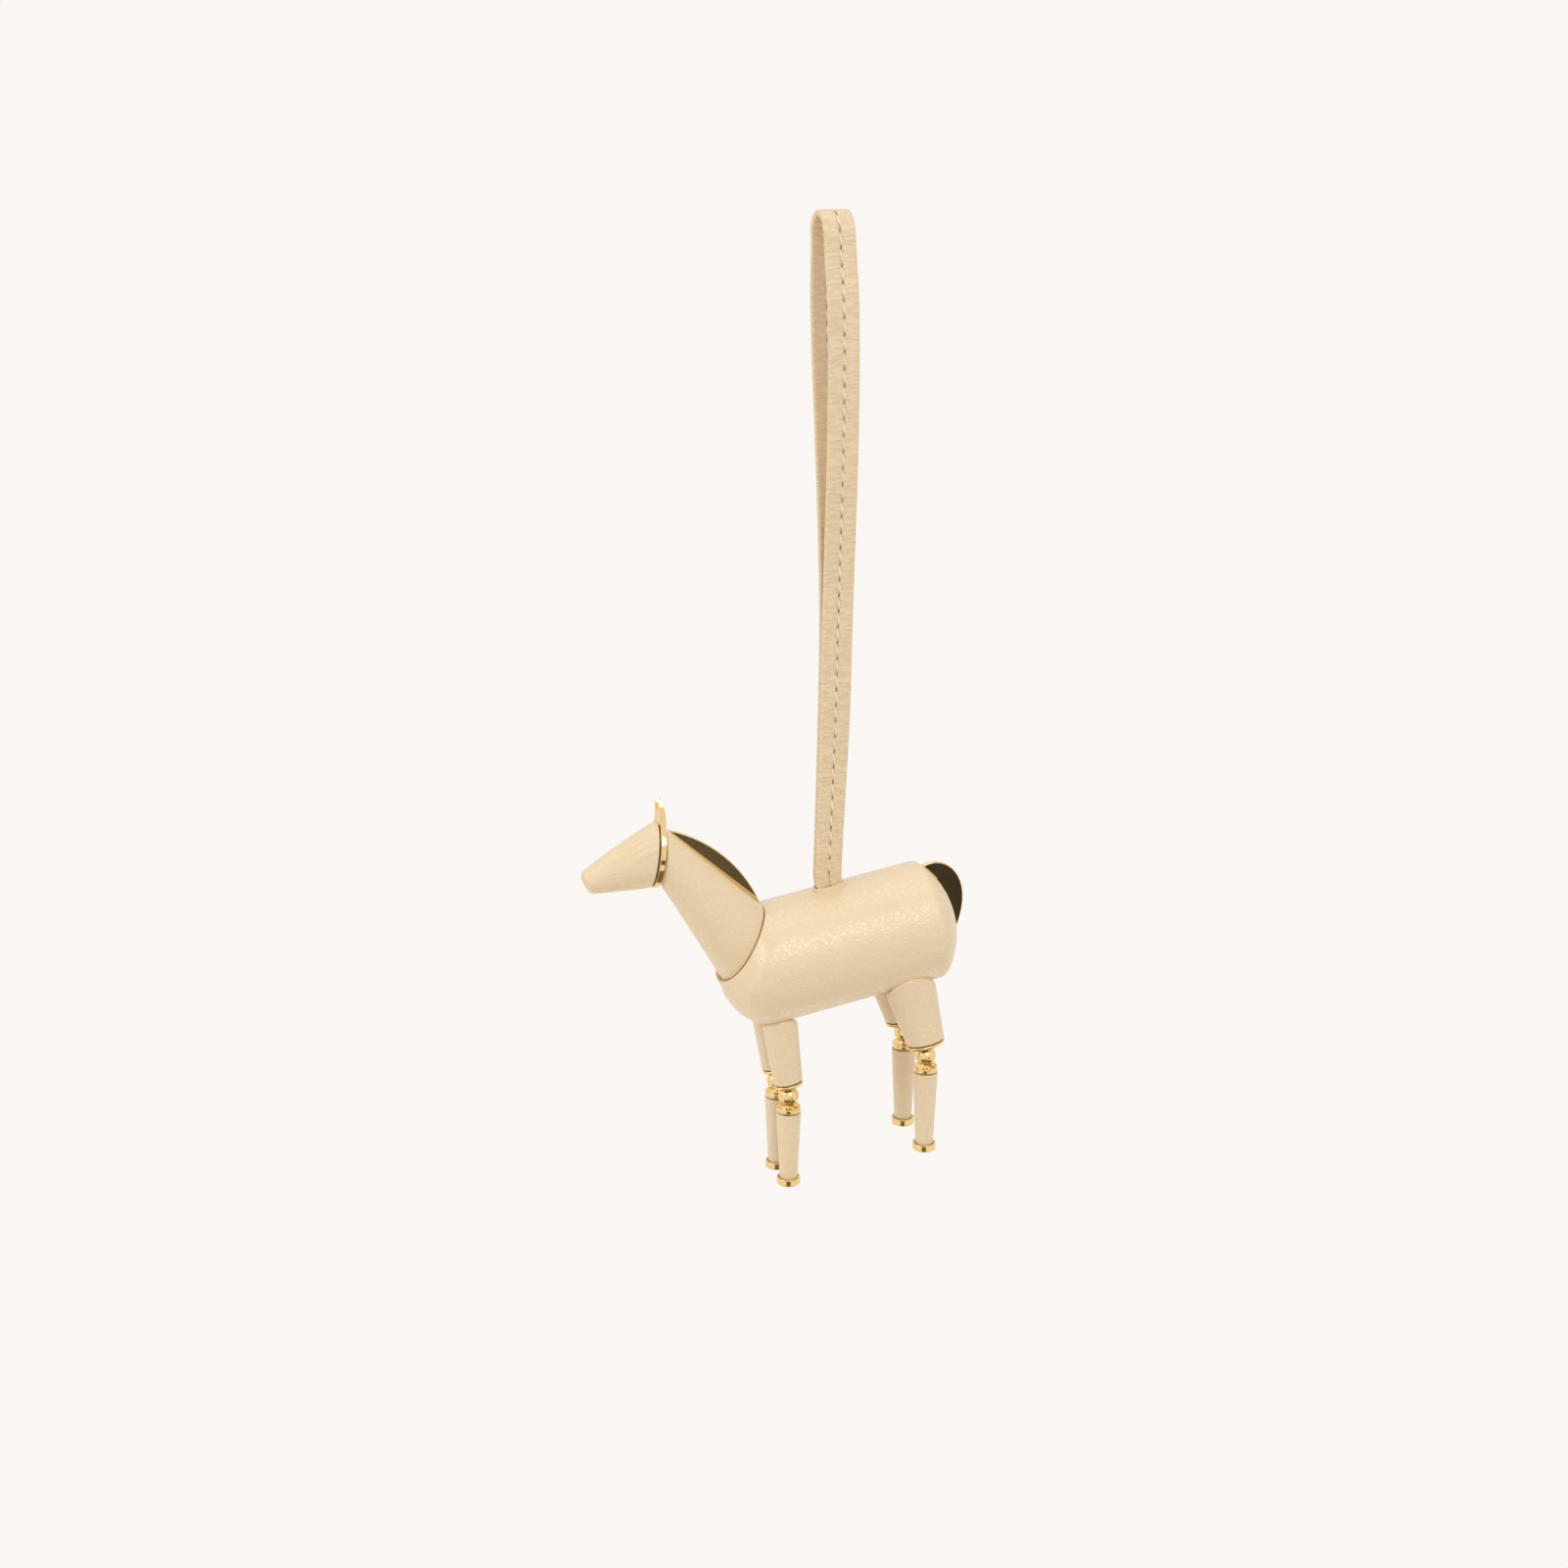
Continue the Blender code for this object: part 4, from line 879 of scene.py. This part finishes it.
class CHARM_OT_barrel(Operator):
    """Turn the barrel with its domed chest and rump"""

    bl_idname = "charm.barrel"
    bl_label = "Barrel and rump"

    def execute(self, context):
        body = sizes("body")
        count = 22
        profile = [(0, body.front + body.chest)]
        for i in range(1, count + 1):
            turn = pi / 2 * (1 - i / count)
            profile.append((body.radius * cos(turn), body.front + body.chest * sin(turn)))
        run = 14
        profile += [(body.radius, body.front - (body.front + body.rear) * i / run) for i in range(1, run + 1)]
        dome = (body.radius ** 2 + body.bulge ** 2) / (2 * body.bulge)
        centre = body.rear + body.bulge - dome
        edge = asin(body.radius / dome)
        fans = 7
        for i in range(fans - 1, -1, -1):
            turn = edge * i / fans
            profile.append((dome * sin(turn), -centre - dome * cos(turn)))
        bm = spun(profile, BARREL_STEPS)
        bmesh.ops.rotate(bm, matrix=Matrix.Rotation(-pi / 2, 3, "Y"), verts=bm.verts)
        round_edges(bm, sharp_edges(bm, RIM_EDGE), body.rim_round, segments=6)
        up, out = leaning(body.seat_angle)
        cut(bm, (body.seat_x, 0, body.seat_z), out, clear=True)
        self.roll_rim(bm, up, out)
        bmesh.ops.contextual_create(bm, geom=[edge for edge in bm.edges if edge.is_boundary])
        bmesh.ops.recalc_face_normals(bm, faces=bm.faces)
        self.cut_slot(bm)
        piece("barrel_leather", bm, leather("body_leather"), "torso",
              ("barrel_skin", "rump_cover"), barrel_place())
        self.edge_slot()
        return {"FINISHED"}

    def edge_slot(self):
        """A thin welt of leather that stands round the foot of the strap."""
        strap = sizes("strap")
        body = sizes("body")
        half_x = strap.foot_width / 2 + body.clearance / 2
        half_y = strap.spacing / 2 + strap.ply / 2 + body.clearance / 2
        base = body.radius - body.clearance
        crest = body.radius + body.welt_tall
        power = 4
        bm = bmesh.new()
        loops = []
        for wide, z in ((0, base), (0, crest), (body.welt_crest, crest), (body.welt_wide, base)):
            verts, edges = oval(bm, Vector((strap.foot_shift, 0, z)), ALONG, 1.0, 1.0, OVAL_STEPS)
            for vert in verts:
                x, y = vert.co.x - strap.foot_shift, vert.co.y
                square = (x ** power + y ** power) ** (1 / power)
                vert.co.x = strap.foot_shift + (half_x + wide) * x / square
                vert.co.y = (half_y + wide) * y / square
            loops.append(edges)
        for one, two in zip(loops, loops[1:] + loops[:1]):
            bmesh.ops.bridge_loops(bm, edges=one + two)
        bmesh.ops.recalc_face_normals(bm, faces=bm.faces)
        round_edges(bm, loops[1] + loops[2], body.welt_round, segments=3)
        piece("slot_welt", bm, leather("body_leather"), "torso", (), barrel_place())

    def roll_rim(self, bm, up, out):
        """Rolls the leather round the seat in to the foot of the neck."""
        body = sizes("body")
        neck = sizes("neck")
        seat = Vector((body.seat_x, 0, body.seat_z))
        rows = 24
        for i in range(1, rows + 1):
            depth = body.seat_round * (1 - cos(pi / 2 * i / rows))
            cut(bm, seat - out * depth, out)
        for vert in bm.verts:
            off = vert.co - seat
            depth = max(-off.dot(out), 0.0)
            flat = off - out * off.dot(out)
            if depth >= body.seat_round or flat.length == 0:
                continue
            rise = (flat.dot(up) - neck.base_rise) / neck.base_tall
            reach = max(sqrt(rise ** 2 + (flat.y / neck.base_wide) ** 2), 1.0)
            room = max(flat.length * (1 - 1 / reach) - body.clearance / 2, body.clearance)
            deep = min(body.seat_round, room + body.clearance)
            if depth < deep:
                curl = 1 - sqrt(1 - (1 - depth / deep) ** 2)
                off_neck = room * (1 - curl) / body.lip_crest
                lip = off_neck * exp(1 - off_neck) * (1 - (1 - curl) ** 2)
                lip *= 1 + LIP_UNDER * max(-flat.normalized().dot(up), 0.0) ** 3
                vert.co += out * (body.seat_lip * lip) - flat.normalized() * (room * curl)

    def cut_slot(self, bm):
        """A pocket in the back for the strap."""
        strap = sizes("strap")
        body = sizes("body")
        half_x = strap.foot_width / 2 + body.clearance
        half_y = strap.spacing / 2 + strap.ply / 2 + body.clearance / 2
        near = BACK_SHARE * body.radius
        for axis, half in ((ALONG, half_x), (ACROSS, half_y)):
            for side in (-1, 1):
                faces = [face for face in bm.faces if face.calc_center_median().z > near]
                geom = {item for face in faces for item in (*face.verts, *face.edges, face)}
                bmesh.ops.bisect_plane(bm, geom=list(geom), dist=CUT_SNAP, plane_no=axis,
                                       plane_co=axis * (half * side) + Vector((strap.foot_shift, 0, 0)))
        floor = []
        for face in bm.faces:
            middle = face.calc_center_median()
            if middle.z > near and abs(middle.x - strap.foot_shift) < half_x and abs(middle.y) < half_y:
                floor.append(face)
        sunk = bmesh.ops.extrude_face_region(bm, geom=floor)["geom"]
        verts = [item for item in sunk if isinstance(item, bmesh.types.BMVert)]
        bmesh.ops.translate(bm, vec=(0, 0, -body.slot_depth), verts=verts)
        lip = [edge for edge in sharp_edges(bm) if min(vert.co.z for vert in edge.verts) > near]
        round_edges(bm, lip, body.clearance, segments=3)


class CHARM_OT_neck(Operator):
    """Stretch leather over the neck and the head"""

    bl_idname = "charm.neck"
    bl_label = "Neck and head"

    def execute(self, context):
        body = sizes("body")
        neck = sizes("neck")
        seat_up, seat_out = leaning(body.seat_angle)
        collar_up, collar_out = leaning(neck.collar_lean)
        muzzle_up = leaning(neck.muzzle_lean)[0]
        collar = Vector((neck.collar_x, 0, neck.collar_z))
        off = neck.collar_plate / 2 + body.clearance
        foot = Vector((body.seat_x, 0, body.seat_z)) + seat_out * body.clearance + seat_up * neck.base_rise
        rows = []
        count = 16
        for i in range(count + 1):
            share = i / count
            middle = foot.lerp(collar - collar_out * off, share)
            rows.append((middle, seat_up.lerp(collar_up, share).normalized(),
                         between(neck.base_tall, neck.top_tall, share),
                         between(neck.base_wide, neck.top_wide, share)))
        bm, _, loops = lofted(rows, NECK_STEPS)
        round_edges(bm, loops[0] + loops[-1], neck.seam_round)
        piece("neck_leather", bm, leather("body_leather"), "torso",
              ("neck_skin",), barrel_place())

        base = collar + collar_out * off
        muzzle = Vector((neck.muzzle_x, 0, neck.muzzle_z))
        forward = (muzzle - base).normalized()
        rows = []
        for i in range(count):
            share = i / count
            rows.append((base.lerp(muzzle, share), collar_up.lerp(muzzle_up, share).normalized(),
                         between(neck.head_tall, neck.muzzle_tall, share),
                         between(neck.head_wide, neck.muzzle_wide, share)))
        turns = 9
        for i in range(turns + 1):
            turn = radians(MUZZLE_TURN) * i / turns
            shrink = cos(turn) ** MUZZLE_FULLNESS
            rows.append((muzzle + forward * (neck.muzzle_round * sin(turn)), muzzle_up,
                         neck.muzzle_tall * shrink, neck.muzzle_wide * shrink))
        bm, _, loops = lofted(rows, HEAD_STEPS)
        round_edges(bm, loops[0], neck.seam_round)
        tip = barrel_place().to_3x3() @ forward
        piece("head_leather", bm, leather("head_leather", tip), "torso",
              ("head_skin",), barrel_place())
        return {"FINISHED"}


class CHARM_OT_plates(Operator):
    """Round and polish the mane, the tail and the ear collar"""

    bl_idname = "charm.plates"
    bl_label = "Mane, tail and ears"

    def execute(self, context):
        neck = sizes("neck")
        plates = (("mane_plate", "mane_metal"), ("tail_plate", "tail_metal"), ("ear_collar", "ear_metal"))
        for node, name in plates:
            bm = bmesh.new()
            bm.from_mesh(frame["nodes"][node].data)
            bmesh.ops.remove_doubles(bm, verts=bm.verts, dist=MERGE_SNAP)
            bmesh.ops.dissolve_limit(bm, angle_limit=radians(0.5), verts=bm.verts, edges=bm.edges)
            if node == "ear_collar":
                self.prick(bm)
            round_edges(bm, sharp_edges(bm), neck.plate_round, segments=6)
            if node == "mane_plate":
                self.thin_foot(bm)
            piece(name, bm, gold_tone(), "torso", (node,), sharp=PLATE_SHARP)
        return {"FINISHED"}

    def thin_foot(self, bm):
        """Draws the mane's faces in just over the leather, so that its foot mirrors the leather."""
        body = sizes("body")
        neck = sizes("neck")
        place = barrel_place()
        seat_up = leaning(body.seat_angle)[0]
        collar_up = leaning(neck.collar_lean)[0]
        low = place @ (Vector((body.seat_x, 0, body.seat_z)) + seat_up * (neck.base_rise + neck.base_tall))
        high = place @ (Vector((neck.collar_x, 0, neck.collar_z)) + collar_up * neck.top_tall)
        along = (high - low).normalized()
        rise = Vector((along.z, 0, -along.x))
        cuts = 5
        for i in range(cuts + 1):
            cut(bm, low + rise * (neck.foot_tall * i / cuts), rise)
        for vert in bm.verts:
            under = min(max(1 - (vert.co - low).dot(rise) / neck.foot_tall, 0.0), 1.0)
            drawn = neck.foot_thin * under ** 2
            vert.co.y -= drawn if vert.co.y > 0 else -drawn

    def prick(self, bm):
        """Leans the ears forward from the top of the collar."""
        neck = sizes("neck")
        place = barrel_place()
        up, out = (place.to_3x3() @ axis for axis in leaning(neck.collar_lean))
        root = place @ Vector((neck.collar_x, 0, neck.collar_z)) + up * neck.collar_tall
        for vert in bm.verts:
            over = (vert.co - root).dot(up)
            if over > 0:
                vert.co += out * (over * tan(neck.ear_prick))


def legs():
    """Name, sizes and side of each leg."""
    for pair in ("front", "rear"):
        for side_name, side in SIDES:
            yield pair + "_" + side_name, sizes(pair + "_leg"), side


class CHARM_OT_upper_legs(Operator):
    """Set the four upper legs under the barrel, with their end caps"""

    bl_idname = "charm.upper_legs"
    bl_label = "Upper legs"

    def execute(self, context):
        body = sizes("body")
        knee = sizes("knee")
        for name, leg, side in legs():
            seam = -body.radius
            foot = leg.cap_z + knee.cap_plate + body.clearance
            top = -body.radius / 2
            rows = []
            count = 10
            for i in range(count + 1):
                z = between(foot, top, i / count)
                share = (z - seam) / (foot - seam)
                rows.append((Vector((leg.along + leg.rake * share, side * leg.apart, z)), ALONG,
                             between(leg.top_long, leg.foot_long, share),
                             between(leg.top_across, leg.foot_across, share)))
            bm, rings, loops = lofted(rows, OVAL_STEPS)
            self.saddle(rings)
            round_edges(bm, loops[-1], knee.top_round, segments=5)
            round_edges(bm, [edge for edge in loops[0] if edge.is_valid], body.clearance, segments=3)
            piece("thigh_leather_" + name, bm, leather("body_leather"), "torso",
                  ("upper_leg_skin_" + name,), barrel_place())
            centre, along, half_long, half_across = rows[0]
            low = centre - Vector((0, 0, body.clearance))
            high_and_low = [(low - Vector((0, 0, drop)), along, half_long, half_across)
                            for drop in (0, knee.cap_plate)]
            bm, _, loops = lofted(high_and_low, OVAL_STEPS)
            round_edges(bm, loops[0] + loops[1], knee.edge_round * 2)
            piece("thigh_cap_" + name, bm, gold_tone(), "torso",
                  ("upper_leg_cap_" + name,), barrel_place())
        return {"FINISHED"}

    def saddle(self, rings):
        """Shortens every line of the leg so that its top lies just under the barrel."""
        for column in zip(*rings):
            low = column[0].co.copy()
            high = column[-1].co.copy()
            least, most = 0.0, 1.0
            for _ in range(HALVINGS):
                middle = (least + most) / 2
                if self.in_barrel(low.lerp(high, middle)):
                    most = middle
                else:
                    least = middle
            for row, vert in enumerate(column):
                vert.co = low.lerp(high, least * row / (len(column) - 1))

    def in_barrel(self, point):
        body = sizes("body")
        reach = max(-point.x - body.front, 0.0) / body.chest
        radius = body.radius * sqrt(max(1 - reach ** 2, 0.0)) + body.clearance
        return point.y ** 2 + point.z ** 2 < radius ** 2


class CHARM_OT_knees(Operator):
    """Turn the ball knees and their collars"""

    bl_idname = "charm.knees"
    bl_label = "Ball knees"

    def execute(self, context):
        knee = sizes("knee")
        body = sizes("body")
        for name, _, _ in legs():
            place = Matrix.Translation(KNEES["knee_" + name])
            bm = bmesh.new()
            bmesh.ops.create_uvsphere(bm, u_segments=48, v_segments=32, radius=knee.ball)
            mouth = cos(asin(knee.mouth / knee.socket)) * knee.ball
            cut(bm, (0, 0, -mouth), (0, 0, -1), clear=True)
            bmesh.ops.recalc_face_normals(bm, faces=bm.faces)
            bmesh.ops.solidify(bm, geom=bm.faces[:], thickness=knee.ball - knee.socket)
            if max(vert.co.length for vert in bm.verts) > knee.ball + body.clearance:
                raise RuntimeError("the knee ball's wall grew outwards")
            tip = Matrix.Rotation(-body.pitch, 4, "Y")
            length = knee.ball - knee.socket + body.clearance + knee.cap_plate
            above = Matrix.Translation((0, 0, knee.socket + length / 2))
            bmesh.ops.create_cone(bm, cap_ends=True, segments=24, radius1=knee.stud, radius2=knee.stud,
                                  depth=length, matrix=tip @ above)
            bmesh.ops.recalc_face_normals(bm, faces=bm.faces)
            piece("knee_ball_metal_" + name, bm, gold_tone(), "torso",
                  ("knee_ball_" + name,), place)

            bore = knee.stem + body.clearance
            foot = knee.collar_drop + knee.collar_height
            rim = knee.collar_radius - knee.collar_lip
            count = 10
            ring = []
            for i in range(count + 1):
                radius = between(bore, rim, i / count)
                deep = knee.collar_dish * (1 - (radius / rim) ** DISH_POWER)
                ring.append((radius, -knee.collar_drop - deep))
            keep = knee.collar_round * FLAT_SHARE
            heights = (-knee.collar_drop, -knee.collar_drop - keep, keep - foot, -foot)
            ring += [(knee.collar_radius, z) for z in heights]
            ring.append((bore, -foot))
            bm = spun(ring, TURNED_STEPS)
            round_edges(bm, sharp_edges(bm, DISH_EDGE), knee.collar_round)
            piece("knee_collar_metal_" + name, bm, gold_tone(), "lower_leg_" + name,
                  ("knee_collar_" + name,), place)
        return {"FINISHED"}


class CHARM_OT_lower_legs(Operator):
    """Turn the shanks and their hooves"""

    bl_idname = "charm.lower_legs"
    bl_label = "Shanks and hooves"

    def execute(self, context):
        knee = sizes("knee")
        body = sizes("body")
        for name, leg, _ in legs():
            place = Matrix.Translation(KNEES["knee_" + name])
            top = knee.collar_drop + knee.collar_height + body.clearance
            foot = leg.sole - knee.hoof_floor - body.clearance
            count = 8
            wall = [(between(knee.shank_top, knee.shank_foot, i / count), -between(top, foot, i / count))
                    for i in range(count + 1)]
            bore = knee.stem + body.clearance
            bm = spun([(bore, -top)] + wall + [(bore, -foot)], TURNED_STEPS)
            round_edges(bm, sharp_edges(bm), body.clearance)
            piece("shank_leather_" + name, bm, leather("body_leather"), "lower_leg_" + name,
                  ("shank_skin_" + name,), place)
            cup = knee.shank_foot + body.clearance
            hoof = cup + knee.hoof_wall
            floor = leg.sole - knee.hoof_floor
            rim = leg.sole - knee.hoof_height
            keep = knee.edge_round * FLAT_SHARE
            wall = [(hoof, z) for z in (-rim, -rim - keep, keep - leg.sole, -leg.sole)]
            bm = spun([(0, -floor), (cup, -floor), (cup, -rim)] + wall + [(0, -leg.sole)], TURNED_STEPS)
            round_edges(bm, sharp_edges(bm), knee.edge_round, segments=3)
            piece("hoof_metal_" + name, bm, gold_tone(), "lower_leg_" + name,
                  ("hoof_" + name,), place)
        return {"FINISHED"}


class CHARM_OT_cores(Operator):
    """Finish the hidden cores, dowels, pins and links"""

    bl_idname = "charm.cores"
    bl_label = "Cores and links"

    def execute(self, context):
        for name, node in frame["nodes"].items():
            if node.hide_render:
                continue
            finish = gold_tone() if name.startswith(("knee_link", "strap_pin")) else turned_wood()
            for slot in node.material_slots:
                slot.material = finish
        return {"FINISHED"}


class CHARM_OT_stage(Operator):
    """Set the camera, the lamps, the pale sweep and the dark cards"""

    bl_idname = "charm.stage"
    bl_label = "Stage"

    def execute(self, context):
        scene = context.scene
        scene.view_settings.view_transform = "Standard"
        camera = bpy.data.cameras.new("camera")
        camera.lens = LENS
        camera.sensor_width = SENSOR
        eye = bpy.data.objects.new("camera", camera)
        eye.location = EYE
        eye.rotation_euler = Vector(GAZE).to_track_quat("-Z", "Y").to_euler()
        scene.collection.objects.link(eye)
        scene.camera = eye
        for softbox in SOFTBOXES:
            self.light(*softbox)
        self.world(scene)
        self.sweep()
        for card in DARK_CARDS:
            self.card(*card)
        return {"FINISHED"}

    def light(self, name, place, width, power):
        """A square softbox that faces the charm."""
        lamp = bpy.data.lights.new(name, "AREA")
        lamp.shape = "SQUARE"
        lamp.size = width
        lamp.energy = power
        made = bpy.data.objects.new(name, lamp)
        made.location = place
        made.rotation_euler = (Vector(AIM) - Vector(place)).to_track_quat("-Z", "Y").to_euler()
        bpy.context.scene.collection.objects.link(made)

    def world(self, scene):
        """Even soft light, and the pale backdrop's colour for the lens and for mirrors."""
        world = bpy.data.worlds.new("studio")
        world.use_nodes = True
        wiring = Wiring(world.node_tree)
        soft = world.node_tree.nodes["Background"]
        soft.inputs["Color"].default_value = (*SOFT_TINT, 1.0)
        soft.inputs["Strength"].default_value = SOFT_STRENGTH
        pale = wiring.node("ShaderNodeBackground")
        pale.inputs["Color"].default_value = (*sizes("finishes").floor, 1.0)
        both = wiring.node("ShaderNodeMixShader", (0, wiring.seen()), (1, soft.outputs["Background"]),
                           (2, pale.outputs["Background"]))
        output = world.node_tree.nodes["World Output"]
        world.node_tree.links.new(both.outputs["Shader"], output.inputs["Surface"])
        scene.world = world

    def sweep(self):
        """A floor below the hooves that curves up behind."""
        low = CAD_BOUNDS[0][2] - FLOOR_DROP
        bm = bmesh.new()
        bmesh.ops.create_grid(bm, x_segments=1, y_segments=1, size=FLOOR_HALF)
        bmesh.ops.translate(bm, vec=(0, 0, low), verts=bm.verts)
        far = [edge for edge in bm.edges if all(vert.co.y > 0 for vert in edge.verts)]
        bmesh.ops.spin(bm, geom=far, cent=(0, FLOOR_HALF, low + SWEEP_RADIUS), axis=(1, 0, 0), angle=pi / 2,
                       steps=SWEEP_STEPS)
        bmesh.ops.remove_doubles(bm, verts=bm.verts, dist=MERGE_SNAP)
        bmesh.ops.recalc_face_normals(bm, faces=bm.faces)
        self.staged("floor_sweep", bm, floor_paper())

    def card(self, name, place, target, width, height):
        """Seen only in reflections, so that polished metal turns dark in places, as in a studio."""
        bm = bmesh.new()
        turn = (Vector(target) - Vector(place)).to_track_quat("Z", "Y").to_matrix().to_4x4()
        shape = Matrix.Diagonal((width / 2, height / 2, 1, 1))
        bm.loops.layers.uv.new("UVMap")
        bmesh.ops.create_grid(bm, x_segments=1, y_segments=1, size=1.0, calc_uvs=True,
                              matrix=Matrix.Translation(place) @ turn @ shape)
        card = self.staged(name, bm, dark_card())
        card.visible_camera = False
        card.visible_diffuse = False
        card.visible_shadow = False

    def staged(self, name, bm, finish):
        mesh = bpy.data.meshes.new(name)
        bm.to_mesh(mesh)
        bm.free()
        mesh.shade_smooth()
        mesh.materials.append(finish)
        made = bpy.data.objects.new(name, mesh)
        bpy.context.scene.collection.objects.link(made)
        return made


class CHARM_PT_panel(Panel):
    """Lists the charm's pieces in the order in which they are made"""

    bl_idname = "CHARM_PT_panel"
    bl_label = "Leather Horse Charm"
    bl_space_type = "VIEW_3D"
    bl_region_type = "UI"
    bl_category = "Charm"

    def draw(self, context):
        for operator in OPERATORS:
            self.layout.operator(operator.bl_idname)
        for name in GROUPS:
            group = getattr(context.scene, "charm_" + name)
            box = self.layout.box()
            for key in group.bl_rna.properties.keys():
                if key not in ("rna_type", "name"):
                    box.prop(group, key)


GROUPS = {
    "strap": StrapSizes,
    "body": BodySizes,
    "neck": NeckSizes,
    "front_leg": FrontLegSizes,
    "rear_leg": RearLegSizes,
    "knee": KneeSizes,
    "finishes": CharmFinishes,
}
OPERATORS = (
    CHARM_OT_stage,
    CHARM_OT_strap,
    CHARM_OT_barrel,
    CHARM_OT_neck,
    CHARM_OT_plates,
    CHARM_OT_upper_legs,
    CHARM_OT_knees,
    CHARM_OT_lower_legs,
    CHARM_OT_cores,
)


def register():
    for group in GROUPS.values():
        bpy.utils.register_class(group)
    for name, group in GROUPS.items():
        setattr(bpy.types.Scene, "charm_" + name, PointerProperty(type=group))
    for kind in (*OPERATORS, CHARM_PT_panel):
        bpy.utils.register_class(kind)


def unregister():
    for kind in (CHARM_PT_panel, *reversed(OPERATORS)):
        bpy.utils.unregister_class(kind)
    for name, group in reversed(GROUPS.items()):
        delattr(bpy.types.Scene, "charm_" + name)
        bpy.utils.unregister_class(group)


def main():
    register()
    bpy.ops.charm.stage()
    bpy.ops.charm.strap()
    bpy.ops.charm.barrel()
    bpy.ops.charm.neck()
    bpy.ops.charm.plates()
    bpy.ops.charm.upper_legs()
    bpy.ops.charm.knees()
    bpy.ops.charm.lower_legs()
    bpy.ops.charm.cores()


if __name__ == "__main__":
    main()
